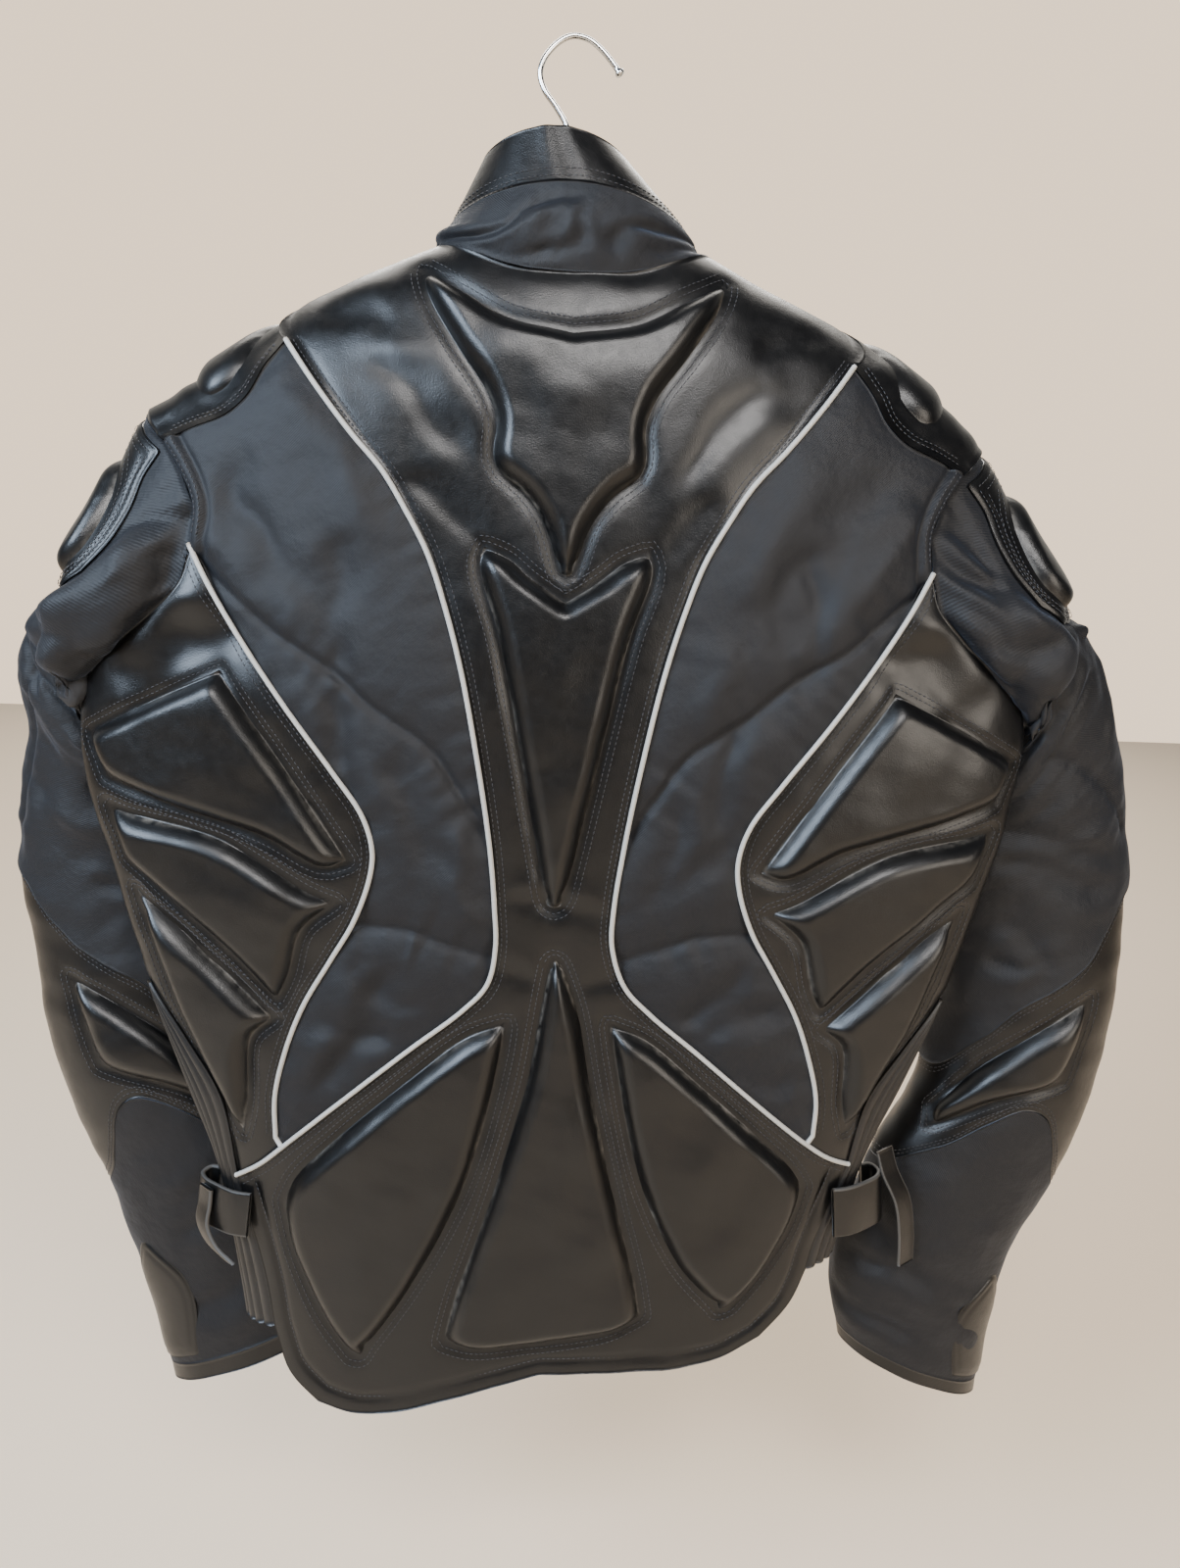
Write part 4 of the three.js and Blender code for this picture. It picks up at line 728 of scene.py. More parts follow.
# ------------------------------------------------------------------ relief of sleeves and collar
# Creases of the sleeves: start and end as (degrees around, rings along), bow, width and height
SLEEVE_CREASES = {
    "right": [
        ((51, 0.06), (70, 0.5), 2, 4, -3.5), ((79, 0.02), (84, 0.5), 2, 4, -3.5),
        ((96, 0.04), (110, 0.5), -3, 5, -3.0), ((120, 0.15), (86, 1.1), 4, 5, -3.0),
        ((62, 2.6), (165, 0.85), 6, 11, -8.5), ((84, 2.9), (150, 1.8), 4, 9, -6.0),
        ((40, 3.1), (90, 3.3), 3, 5, -2.6), ((24, 3.0), (40, 4.2), -3, 6, 3.0),
        ((132, 4.4), (47, 6.0), 5, 7, -5.0), ((120, 5.2), (50, 6.4), 4, 8, -4.0),
        ((110, 4.9), (60, 5.6), 3, 9, 2.6), ((120, 6.6), (92, 7.4), -3, 5, -3.4),
        ((130, 7.2), (100, 7.3), 2, 5, -3.0), ((110, 2.8), (150, 2.6), 3, 9, -4.0),
        ((60, 1.2), (96, 0.7), 3, 8, 2.0),
    ],
    "left": [
        ((86, 0.2), (108, 0.14), 2, 4, -6.0), ((74, 0.5), (96, 0.5), 3, 5, 2.6),
        ((66, 3.5), (165, 0.8), 4, 11, -9.0), ((99, 2.5), (150, 1.5), 4, 10, -6.0),
        ((82, 1.0), (70, 1.9), 3, 5, -3.4), ((66, 1.3), (52, 2.5), -3, 8, 2.6),
        ((96, 1.1), (88, 1.6), 2, 4, -3.6), ((26, 3.6), (60, 4.1), 3, 5, -3.2),
        ((66, 3.0), (80, 3.6), 3, 5, -3.0), ((126, 4.6), (88, 5.4), 4, 9, -6.0),
        ((110, 5.6), (70, 6.0), 3, 8, 2.4), ((100, 4.1), (70, 4.7), -3, 8, 2.4),
        ((60, 4.8), (44, 5.9), 3, 7, -3.0), ((120, 6.6), (90, 6.9), 3, 6, -3.0),
        ((40, 5.7), (30, 6.6), 3, 7, 2.2),
    ],
}
FOREARM_CREASES = {
    "right": [
        ((170, 11.6), (60, 12.4), 6, 8, -3.0), ((150, 12.4), (30, 12.9), -5, 7, -2.8),
        ((175, 13.1), (90, 13.3), 3, 6, -2.4), ((120, 10.8), (60, 11.6), 5, 10, 2.0),
    ],
    "left": [
        ((165, 11.8), (70, 12.2), -6, 8, -3.2), ((150, 12.5), (60, 13.2), 5, 7, -2.8),
        ((120, 13.0), (70, 13.4), 3, 6, -2.2), ((130, 11.0), (70, 11.5), 4, 10, 2.2),
    ],
}


def on_sleeve(rows):
    """Crease rows given in degrees and rings, as rows in flat millimetres."""
    return [(np.array(start) * SLEEVE_MM, np.array(end) * SLEEVE_MM, bow, width, height)
            for start, end, bow, width, height in rows]


# Pieces laid on the sleeves, between four edges of (around, along) places
CAP_EDGES = {
    "top": [(38, 0.08), (0, 0.08), (-38, 0.08)],
    "bottom": [(75, 0.82), (72, 1.2), (56, 1.75), (34, 2.25), (0, 2.3), (-36, 1.9), (-60, 1.3),
               (-68, 0.9)],
    "left": [(38, 0.08), (42, 0.28), (52, 0.42), (66, 0.6), (75, 0.82)],
    "right": [(-38, 0.08), (-44, 0.3), (-58, 0.5), (-68, 0.9)],
}
GUSSET_EDGES = {
    "top": [(34, 12.1), (42, 12.1)], "bottom": [(-14, 13.72), (62, 13.72)],
    "left": [(34, 12.1), (8, 12.7), (-14, 13.72)], "right": [(42, 12.1), (66, 12.8), (62, 13.72)],
}
ELBOW_PAD_EDGES = {
    "top": [(62, 8.05), (92, 8.5), (123, 9.2), (148, 10.15)],
    "bottom": [(71, 9.3), (84, 9.45), (108, 9.75), (140, 10.45)],
    "left": [(62, 8.05), (66, 8.7), (71, 9.3)], "right": [(148, 10.15), (140, 10.45)],
}
CAP_PAD_EDGES = {
    "top": [(20, 0.38), (0, 0.42)], "bottom": [(46, 1.75), (24, 1.95)],
    "left": [(20, 0.38), (33, 0.52), (52, 0.7), (62, 0.86), (60, 1.25), (46, 1.75)],
    "right": [(0, 0.42), (-2, 1.0), (8, 1.5), (24, 1.95)],
}


def sleeve_edges(edges, shift=0.0):
    """Edges of a piece on a sleeve, in flat millimetres."""
    return {key: steps((np.array(line, float) + [0, shift]) * SLEEVE_MM, EDGE_STEPS)
            for key, line in edges.items()}


# The big fold of each sleeve: a closed line of (degrees around, rings along) places
LOBES = {
    "right": [(88, 0.05), (79, 0.48), (70, 0.9), (48, 1.7), (24, 2.5), (32, 2.7), (50, 2.15),
              (74, 1.4), (98, 0.82), (119, 0.62), (144, 0.34), (130, 0.05)],
    "left": [(61, 0.9), (60, 0.68), (66, 0.36), (80, 0.12), (105, 0.1), (130, 0.1), (150, 0.16),
             (132, 0.58), (114, 0.85), (90, 1.7), (69, 2.66), (48, 3.4), (30, 3.3), (38, 2.2),
             (50, 1.5)],
}
# Sewn lines of the quilted sleeves
SLEEVE_SEAMS = {
    "right": [[(99, 3.62), (74, 4.2), (50, 4.9), (29, 5.6)],
              [(51, 0.06), (56, 0.24), (68, 0.42), (79, 0.48)]],
    "left": [[(49, 3.78), (66, 3.7), (82, 3.66), (120, 3.28)],
             [(49, 3.78), (36, 5.0), (21, 6.34)],
             [(61, 0.9), (60, 0.68), (66, 0.32), (77, 0.02)]],
}


def lobe(flat, outline, height, rise):
    """A puffed fold: it swells from its outline and drops steeply at its edge."""
    away = np.where(inside(flat, outline), distance_to(flat, outline)[0], 0.0)
    t = np.clip(away / rise, 0, 1)
    return height * (1 - (1 - t) ** 2.2)


def sleeve_upper_relief(side):
    cap = outline_of(sleeve_edges(CAP_EDGES))
    seed = 100 if side == "right" else 140
    fold = steps(np.array(LOBES[side] + LOBES[side][:1], float) * SLEEVE_MM, 90)
    seams = [steps(np.array(line, float) * SLEEVE_MM, LINE_STEPS) for line in SLEEVE_SEAMS[side]]
    top = np.array([(0, 0), (360 * AROUND_MM, 0)], float)

    def relief(flat):
        start = flat[..., 1]
        total = 2.5 * (1 - np.exp(-start / 10)) + 1.1 * ripple(flat, 60, seed)
        total += creases(flat, on_sleeve(SLEEVE_CREASES[side]), seed + 2) * np.tanh(start / 8)
        total += 0.7 * ripple(flat, 24, seed + 1)
        total += lobe(flat, fold, 8.5, 16) * np.tanh(start / 8)
        total += puckers(flat, top, 12, 12, 1.6, seed + 40)
        for i, line in enumerate(seams):
            near = distance_to(flat, line)[0]
            total -= 2.4 * bell(near, 2.4) + 2.2 * bell(near, 12)
            total += puckers(flat, line, 11, 12, 1.1, seed + 50 + i)
        under = np.where(inside(flat, cap), 0.0, distance_to(flat, cap)[0])
        keep = 1 - bell(under, 7)
        return total * keep - 1.4 * (1 - keep)

    return relief


def sleeve_elbow_relief(side):
    pad = {"pad": sleeve_edges(ELBOW_PAD_EDGES, ELBOW_SHIFT[side])}

    def relief(flat):
        return (channel(flat, pad, 1.6, 4.5) + 0.8 * ripple(flat, 70, 181)
                + 0.35 * ripple(flat, 28, 182))

    return relief


def sleeve_forearm_relief(side):
    seed = 190 if side == "right" else 210

    def relief(flat):
        total = 1.0 * ripple(flat, 70, seed) + 0.4 * ripple(flat, 26, seed + 1) + 0.6
        total += creases(flat, on_sleeve(FOREARM_CREASES[side]), seed + 2)
        return total * np.tanh((CUFF_BAND * ALONG_MM - flat[..., 1]) / 10)

    return relief


def cuff_relief(flat):
    return 0.4 * ripple(flat, 40, 230)


COLLAR_CREASES = [
    ((-110, 6), (-60, 30), 4, 5, -2.4), ((-60, 34), (20, 40), -3, 4, -2.2),
    ((-40, 8), (30, 22), 4, 5, -2.4), ((40, 10), (96, 30), -4, 5, -2.6),
    ((70, 4), (120, 20), 3, 5, -2.2), ((-90, 2), (-20, 12), 3, 4, -1.8),
]


def collar_relief(flat):
    stand = np.clip(1 - np.abs(flat[..., 1] - COLLAR_RING) / COLLAR_RING, 0, 1)
    folds = creases(flat, COLLAR_CREASES, 240)
    end = np.tanh((NECK_STEPS * COLLAR_STEP - np.abs(flat[..., 0])) / 14)
    return end * (stand * (1.6 + 1.2 * ripple(flat, 30, 241)) + folds * np.minimum(1, stand * 2))


def band_relief(flat):
    return 0.3 * ripple(flat, 40, 250)


# ------------------------------------------------------------------ meshes
LOOK = "_look"                   # the end of each piece's name


def make_object(name, points, faces, materials, slots=None, flat=None, wear_and_highlight=None):
    """A smooth-shaded object from points in mm. flat gives its cloth coordinates."""
    mesh = bpy.data.meshes.new(name)
    mesh.from_pydata((np.asarray(points).reshape(-1, 3) * MM).tolist(), [], faces)
    for material in materials:
        mesh.materials.append(material)
    count = len(mesh.polygons)
    if slots is not None:
        mesh.polygons.foreach_set("material_index", np.asarray(slots, np.int32))
    mesh.polygons.foreach_set("use_smooth", np.ones(count, bool))
    if flat is not None:
        corner = np.zeros(len(mesh.loops), np.int32)
        mesh.loops.foreach_get("vertex_index", corner)
        layer = mesh.uv_layers.new(name="cloth")
        layer.uv.foreach_set("vector", (np.asarray(flat).reshape(-1, 2)[corner] * MM).ravel())
    # A per-point value that makes the leather paler along the pads' rims: partly worn leather,
    # partly a painted highlight.
    pale_rim = mesh.attributes.new("wear_and_highlight", "FLOAT", "POINT")
    pale_rim.data.foreach_set("value", np.zeros(len(mesh.vertices)) if wear_and_highlight is None else wear_and_highlight.ravel())
    mesh.validate()
    mesh.update()
    obj = bpy.data.objects.new(name + LOOK, mesh)
    bpy.context.scene.collection.objects.link(obj)
    return obj


def grid_faces(ids, closed):
    """Quads over a grid of vertex numbers."""
    if closed:
        ids = np.concatenate([ids, ids[:, :1]], axis=1)
    quads = np.stack([ids[:-1, :-1], ids[:-1, 1:], ids[1:, 1:], ids[1:, :-1]], -1)
    return quads.reshape(-1, 4)


def rim_faces(outer, inner):
    """Faces between a fine row of vertices and one of half as many."""
    a, b, c, k, m = outer[:-1:2], outer[1::2], outer[2::2], inner[:-1], inner[1:]
    return np.stack([a, k, b], -1).tolist() + np.stack([b, k, m, c], -1).tolist()


def shell(name, outside, inside_points, materials, flat, closed=False, wear_and_highlight=None):
    """A closed cloth wall: a fine outer grid, and an inner grid of every second point."""
    if closed:
        outside, inside_points, flat = outside[:, :-1], inside_points[:, :-1], flat[:, :-1]
    coarse = inside_points[::2, ::2]
    top = np.arange(outside.shape[0] * outside.shape[1]).reshape(outside.shape[:2])
    low = np.arange(coarse.shape[0] * coarse.shape[1]).reshape(coarse.shape[:2]) + top.size
    front, back = grid_faces(top, closed), grid_faces(low, closed)[:, ::-1]

    def around(row):
        return np.append(row, row[0]) if closed else row

    rims = rim_faces(around(top[-1]), around(low[-1]))
    rims += [face[::-1] for face in rim_faces(around(top[0]), around(low[0]))]
    if not closed:
        rims += rim_faces(top[:, 0], low[:, 0])
        rims += [face[::-1] for face in rim_faces(top[:, -1], low[:, -1])]
    points = np.concatenate([outside.reshape(-1, 3), coarse.reshape(-1, 3)])
    flat_all = np.concatenate([flat.reshape(-1, 2), flat[::2, ::2].reshape(-1, 2)])
    # The outer grid carries the pale-rim value (wear and painted highlight); the inner grid carries
    # none.
    pale_rim = np.zeros(outside.shape[:2]) if wear_and_highlight is None else wear_and_highlight
    pale_rim_all = np.concatenate([pale_rim.ravel(), np.zeros(low.size)])
    slots = np.concatenate([np.zeros(len(front)), np.ones(len(back)), np.zeros(len(rims))])
    faces = front.tolist() + back.tolist() + rims
    obj = make_object(name, points, faces, materials, slots, flat_all, pale_rim_all)
    turn_outwards(obj)
    return obj


def turn_outwards(obj):
    """Turn all faces over if the mesh is inside out."""
    mesh = obj.data
    mesh.calc_loop_triangles()
    points = np.zeros(len(mesh.vertices) * 3)
    mesh.vertices.foreach_get("co", points)
    corners = np.zeros(len(mesh.loop_triangles) * 3, np.int32)
    mesh.loop_triangles.foreach_get("vertices", corners)
    a, b, c = (points.reshape(-1, 3)[corners.reshape(-1, 3)[:, k]] for k in range(3))
    if np.einsum("ij,ij->i", a, np.cross(b, c)).sum() < 0:
        mesh.flip_normals()


def own(obj, slot_name, *nodes, body_name="jacket"):
    """Hang a visual piece on its body's empty, and hide the CAD nodes that it stands for."""
    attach(obj, body_name)
    if nodes:
        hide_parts(*nodes)
    return obj


def cloth_panel(name, surface, grid, material, relief, thick, closed=False, slot_name="leather"):
    """A panel of cloth over a grid of places, in the place of the CAD node of the same name."""
    flat = surface.flat(grid)
    base = surface.point(grid)
    normal = surface.normal(grid)
    raised = relief(flat) if callable(relief) else relief
    outside = base + normal * np.asarray(raised)[..., None]
    inner = outside - normal * thick
    obj = shell(name, outside, inner, [material, MATERIALS["lining"]], flat, closed)
    own(obj, slot_name, name)
    return obj


# ------------------------------------------------------------------ materials
def new_material(name, color, roughness, metallic=0.0):
    material = bpy.data.materials.new(name)
    material.use_nodes = True
    shader = material.node_tree.nodes["Principled BSDF"]
    shader.inputs["Base Color"].default_value = (*color, 1.0)
    shader.inputs["Roughness"].default_value = roughness
    shader.inputs["Metallic"].default_value = metallic
    return material, shader


class Nodes:
    """Short ways to add and link the nodes of a material or a world."""

    def __init__(self, owner):
        self.tree = owner.node_tree

    def add(self, kind, links=(), **values):
        node = self.tree.nodes.new(kind)
        for key, value in values.items():
            if hasattr(node, key):
                setattr(node, key, value)
            else:
                node.inputs[key.replace("_", " ")].default_value = value
        for key, source in dict(links).items():
            self.tree.links.new(source, node.inputs[key])
        return node

    def link(self, source, target):
        self.tree.links.new(source, target)

    def bumps(self, shader, *layers):
        """Bumps one upon another, each from a height, a strength and a distance."""
        links = {}
        for height, strength, distance in layers:
            links["Height"] = height
            bump = self.add("ShaderNodeBump", links, Strength=strength, Distance=distance)
            links["Normal"] = bump.outputs["Normal"]
        self.link(bump.outputs["Normal"], shader.inputs["Normal"])


def leather_material(name, color, roughness, tan):
    """Smooth grained leather, made paler where a per-point attribute says so: worn leather, and a
    painted highlight along the pads' rims.
    """
    material, shader = new_material(name, color, roughness)
    n = Nodes(material)
    place = n.add("ShaderNodeTexCoord").outputs["Object"]
    broad = n.add("ShaderNodeTexNoise", {"Vector": place}, Scale=22.0, Detail=3.0, Roughness=0.55)
    fine = n.add("ShaderNodeTexNoise", {"Vector": place}, Scale=160.0, Detail=4.0, Roughness=0.6)
    grain = n.add("ShaderNodeTexVoronoi", {"Vector": place}, Scale=1300.0, feature="SMOOTH_F1",
                  Smoothness=0.6)
    pale_rim = n.add("ShaderNodeAttribute", attribute_name="wear_and_highlight")
    patchy = n.add("ShaderNodeMapRange", {"Value": fine.outputs["Fac"]}, From_Min=0.35,
                   From_Max=0.7)
    amount = n.add("ShaderNodeMath", {0: pale_rim.outputs["Fac"], 1: patchy.outputs["Result"]},
                   operation="MULTIPLY", use_clamp=True)
    # Mix toward the pale colour on the pads' rims: partly wear, partly a painted highlight.
    tint = n.add("ShaderNodeMix", {"Factor": amount.outputs[0]}, data_type="RGBA",
                 A=(*color, 1.0), B=(*tan, 1.0))
    n.link(tint.outputs["Result"], shader.inputs["Base Color"])
    rough = n.add("ShaderNodeMapRange", {"Value": fine.outputs["Fac"]}, From_Min=0.3, From_Max=0.7,
                  To_Min=roughness - 0.03, To_Max=roughness + 0.05)
    n.link(rough.outputs["Result"], shader.inputs["Roughness"])
    n.bumps(shader, (broad.outputs["Fac"], 0.25, 0.0025), (fine.outputs["Fac"], 0.2, 0.0005),
            (grain.outputs["Distance"], 0.25, 0.0003))
    shader.inputs["Specular IOR Level"].default_value = 0.42
    shader.inputs["Coat Weight"].default_value = 0.06
    shader.inputs["Coat Roughness"].default_value = 0.25
    return material


def twill_material(name, color, roughness):
    """Nylon twill: fine diagonal ribs, a slight sheen and small uneven ripples."""
    material, shader = new_material(name, color, roughness)
    n = Nodes(material)
    cloth = n.add("ShaderNodeUVMap", uv_map="cloth").outputs["UV"]
    ribs = n.add("ShaderNodeTexWave", {"Vector": cloth}, Scale=420.0, Distortion=0.5, Detail=1.0,
                 bands_direction="DIAGONAL", wave_type="BANDS")
    place = n.add("ShaderNodeTexCoord").outputs["Object"]
    crush = n.add("ShaderNodeTexNoise", {"Vector": place}, Scale=70.0, Detail=3.0, Roughness=0.5)
    threads = n.add("ShaderNodeTexNoise", {"Vector": place}, Scale=900.0, Detail=1.0)
    n.bumps(shader, (crush.outputs["Fac"], 0.5, 0.003), (ribs.outputs["Fac"], 0.45, 0.00022),
            (threads.outputs["Fac"], 0.2, 0.0003))
    shader.inputs["Specular IOR Level"].default_value = 0.36
    shader.inputs["Sheen Weight"].default_value = 0.1
    shader.inputs["Sheen Roughness"].default_value = 0.4
    shader.inputs["Sheen Tint"].default_value = (0.6, 0.74, 1.0, 1.0)
    return material


def plain_material(name, color, roughness, metallic=0.0, grain=0.0):
    material, shader = new_material(name, color, roughness, metallic)
    if grain:
        n = Nodes(material)
        place = n.add("ShaderNodeTexCoord").outputs["Object"]
        noise = n.add("ShaderNodeTexNoise", {"Vector": place}, Scale=grain, Detail=2.0)
        n.bumps(shader, (noise.outputs["Fac"], 0.3, 0.0004))
    return material


# The pale colour of the pads' rims: worn leather with a painted highlight.
TAN = (0.13, 0.12, 0.105)
MATERIALS = {
    "leather": leather_material("leather", (0.0026, 0.0026, 0.0028), 0.33, TAN),
    "textile": twill_material("textile", (0.0036, 0.004, 0.0056), 0.6),
    "piping": plain_material("piping", (0.42, 0.41, 0.38), 0.55, grain=700.0),
    "thread": plain_material("thread", (0.034, 0.034, 0.038), 0.5),
    "lining": plain_material("lining", (0.011, 0.011, 0.0125), 0.75, grain=500.0),
    "edge": plain_material("edge", (0.05, 0.047, 0.043), 0.6, grain=600.0),
    "rib": plain_material("rib", (0.006, 0.006, 0.0066), 0.42, grain=500.0),
    "zip_metal": plain_material("zip_metal", (0.09, 0.09, 0.095), 0.35, 1.0),
    "chrome": plain_material("chrome", (0.72, 0.72, 0.71), 0.16, 1.0),
    "hanger_plastic": plain_material("hanger_plastic", (0.025, 0.025, 0.026), 0.45),
}


# ------------------------------------------------------------------ the panels of the body
RIDGE = [(1.0, 121.0), (1.0, 155.0)]
ROWS = {"ridge": 16, "patch": 10, "piping_long": 164, "piping_tail": 14, "tail_seam": 28,
        "tail_edge": 14, "side": 80, "side_low": 70, "armhole": 30, "arm_front": 50}
COLS = {"back": 172, "textile": 78, "side": 70, "front": 48}
SHOULDER_CORNER = (168, 187)
SIDE_TOP, SIDE_LOW = 396.0, (264, 588)
SIDE_FOOT = [(174.6, 687.6), (189.6, 699.8), (206.6, 710.6)]


def on_body(name, count, on_front=False):
    return places_on(steps(LINES[name], count), on_front)


def patch_inner(on_front):
    corner = (float(turn_at(*SHOULDER_CORNER, on_front)), SHOULDER_CORNER[1])
    return steps([(1.0, 155.0), corner], ROWS["patch"])


def back_centre_grid():
    lines = [on_body(name, ROWS[name])
             for name in ("piping_long", "piping_tail", "tail_seam", "tail_edge")]
    right = join(steps(RIDGE, ROWS["ridge"]), patch_inner(False), *lines)
    half = COLS["back"] // 2
    top, hem = on_body("neck_back", half), on_body("tail_hem", half)
    across = [join(mirrored(line, -1), line[::-1]) for line in (top, hem)]
    return coons(across[0], across[1], mirrored(right, -1), right)


def armhole_part(first, last, count, on_front=False):
    """Part of the armhole, from one of its steps to another."""
    line = ARMHOLE["front" if on_front else "back"][first:last + 1]
    return steps(line, count)


def shoulder_patch_grid():
    inner = join(patch_inner(False)[::-1], patch_inner(True))
    outer = join(armhole_part(0, 2, ROWS["patch"])[::-1], armhole_part(0, 2, ROWS["patch"], True))
    top, low = (on_body("patch_back", COLS["textile"], on_front) for on_front in (False, True))
    return coons(top, low, inner, outer)


def textile_grid():
    left = steps(LINES["piping_long"], ROWS["piping_long"] + ROWS["armhole"])
    right = join(steps(LINES["arm_upper"], ROWS["armhole"]),
                 steps(LINES["piping_short"], ROWS["piping_long"]))
    top = steps(LINES["patch_back"], COLS["textile"])
    low = steps([LINES["piping_long"][-1], LINES["piping_short"][-1]], COLS["textile"])
    return places_on(coons(top, low, left, right))


def side_grid():
    seam = np.vstack([steps(LINES["piping_short"], 60), SIDE_FOOT[:1]])
    left = places_on(steps(seam, ROWS["side"] + ROWS["side_low"]))
    corner = (float(turn_at(*SIDE_LOW)), SIDE_LOW[1])
    right = join(steps([(1.0, SIDE_TOP), (1.0, SIDE_LOW[1] - 40), corner], ROWS["side"]),
                 on_body("rib_back", ROWS["side_low"]))
    top = on_body("arm_lower", COLS["side"])
    return coons(top, places_on(steps(SIDE_FOOT, COLS["side"])), left, right)


RIBS = 8
RIB_EDGE = [(1.04, 590), (1.12, 700), (1.2, FRONT_HEM)]


def rib_grid():
    left = join(on_body("rib_back", ROWS["side_low"]), on_body("tail_seam", ROWS["tail_seam"]))
    right = steps(RIB_EDGE, ROWS["side_low"] + ROWS["tail_seam"])
    cols = 8 * RIBS
    return coons(steps([left[0], right[0]], cols), steps([left[-1], right[-1]], cols), left, right)


def front_grid():
    outer = join(steps(RIDGE, ROWS["ridge"]), patch_inner(True),
                 on_body("patch_back", ROWS["patch"] * 2, True),
                 armhole_part(2, ARMHOLE_STEPS, ROWS["arm_front"], True),
                 steps([(1.0, SIDE_TOP), RIB_EDGE[0]], ROWS["side"] // 2),
                 steps(RIB_EDGE, ROWS["side_low"] // 2))
    if len(outer) % 2 == 0:
        outer = steps(outer, len(outer))
    share = (outer[:, 1] - outer[0, 1]) / (FRONT_HEM - outer[0, 1])
    level = NECK_FRONT + (FRONT_HEM - NECK_FRONT) * share ** 1.25
    middle = np.stack([turn_at(ZIP_HALF, level, True), level], -1)
    neck = steps([(1.0, 121.0), (1.45, 148.0), middle[0]], COLS["front"])
    return coons(neck, steps([outer[-1], middle[-1]], COLS["front"]), outer, middle)


cloth_panel("back_centre", BODY_SURFACE, back_centre_grid(), MATERIALS["leather"],
            back_centre_relief, WALL["leather"])
for side_name, side_sign in SIDES:
    cloth_panel(f"shoulder_patch_{side_name}", BODY_SURFACE,
                mirrored(shoulder_patch_grid(), side_sign), MATERIALS["leather"],
                shoulder_relief(side_name, side_sign), WALL["leather"])
    cloth_panel(f"back_textile_{side_name}", BODY_SURFACE, mirrored(textile_grid(), side_sign),
                MATERIALS["textile"], back_textile_relief(side_name, side_sign), WALL["textile"],
                slot_name="textile")
    cloth_panel(f"side_leather_{side_name}", BODY_SURFACE, mirrored(side_grid(), side_sign),
                MATERIALS["leather"], side_relief(side_name, side_sign), WALL["leather"])
    cloth_panel(f"front_{side_name}", BODY_SURFACE, mirrored(front_grid(), side_sign),
                MATERIALS["leather"], front_relief(side_sign), WALL["leather"])
    strip = mirrored(rib_grid(), side_sign)
    rib_wave = np.abs(np.sin(np.linspace(0, RIBS * np.pi, strip.shape[1]))) ** 0.7
    cloth_panel(f"rib_strip_{side_name}", BODY_SURFACE, strip, MATERIALS["rib"],
                1.9 * np.tile(rib_wave, (strip.shape[0], 1)), WALL["leather"])

# ------------------------------------------------------------------ the sleeves
AROUND = 128                     # steps round a sleeve
SLEEVE_ROWS = {"upper": 170, "elbow": 72, "forearm": 76, "cuff": 6}


def sleeve_grid(start, end, rows):
    """Places of a tube between two edges, each a function of the angle around."""
    around = np.linspace(0, 360, AROUND + 1)
    share = np.linspace(0, 1, rows + 1)[:, None]
    along = start(around)[None, :] * (1 - share) + end(around)[None, :] * share
    return np.stack([np.broadcast_to(around, along.shape), along], -1)


def fixed(value):
    return lambda around: np.full(np.shape(around), float(value))


def elbow_edge(side, edge):
    return lambda around: smooth_column(ELBOW, "around", edge, around) + ELBOW_SHIFT[side]


for side_name, side_sign in SIDES:
    tube = SLEEVE_SURFACE[side_name]
    top_edge, low_edge = elbow_edge(side_name, "top"), elbow_edge(side_name, "low")
    parts = (
        ("sleeve_upper", fixed(0), top_edge, SLEEVE_ROWS["upper"], "textile",
         sleeve_upper_relief(side_name)),
        ("sleeve_elbow", top_edge, low_edge, SLEEVE_ROWS["elbow"], "leather",
         sleeve_elbow_relief(side_name)),
        ("sleeve_forearm", low_edge, fixed(CUFF_BAND), SLEEVE_ROWS["forearm"], "textile",
         sleeve_forearm_relief(side_name)),
        ("cuff_band", fixed(CUFF_BAND), fixed(RINGS), SLEEVE_ROWS["cuff"], "leather", cuff_relief),
    )
    for part_name, start, end, rows, cloth, relief in parts:
        cloth_panel(f"{part_name}_{side_name}", tube, sleeve_grid(start, end, rows),
                    MATERIALS[cloth], relief, WALL[cloth], closed=True, slot_name=cloth)


# ------------------------------------------------------------------ the collar
def collar_grid(start, end, rows):
    columns = np.linspace(-NECK_STEPS, NECK_STEPS, 161)
    along = np.linspace(start, end, rows + 1)
    return np.stack(np.meshgrid(columns, along), -1)


cloth_panel("collar_stand", COLLAR_SURFACE, collar_grid(0, 2, 50), MATERIALS["textile"],
            collar_relief, WALL["collar"], slot_name="textile")
cloth_panel("collar_band", COLLAR_SURFACE, collar_grid(2, 3, 20), MATERIALS["leather"],
            band_relief, WALL["collar"])


# ------------------------------------------------------------------ pads and patches
PAD_FOOT, PAD_HEIGHT, PAD_BEVEL = -2.6, 8.5, 12.0


def four_lines(edges, cols, rows):
    """The edges of a piece, cut into the steps of its grid."""
    counts = {"top": cols, "bottom": cols, "left": rows, "right": rows}
    return {key: steps(edges[key], count) for key, count in counts.items()}


def pad_height(flat, edges, height, bevel):
    """A pad rises steeply from its rim and flattens towards its middle."""
    away = soft_least([distance_to(flat, line)[0] for line in edges.values()], 2.5)
    t = np.clip(away / bevel, 0, 1)
    rise = 1 - (1 - t) ** 2.1
    crown = 0.08 * height * np.clip(away / 40, 0, 1)
    return PAD_FOOT + (height - PAD_FOOT) * rise + crown


# A thin pale line just inside each pad's rim, patchy along it: partly worn leather, partly a
# painted highlight.
def pad_wear_and_highlight(flat, edges):
    line = bell(nearest(flat, edges.values()), 0.9, 1.2)
    return np.clip(line * (0.35 + 0.7 * ripple(flat, 60, 301)), 0, 1)


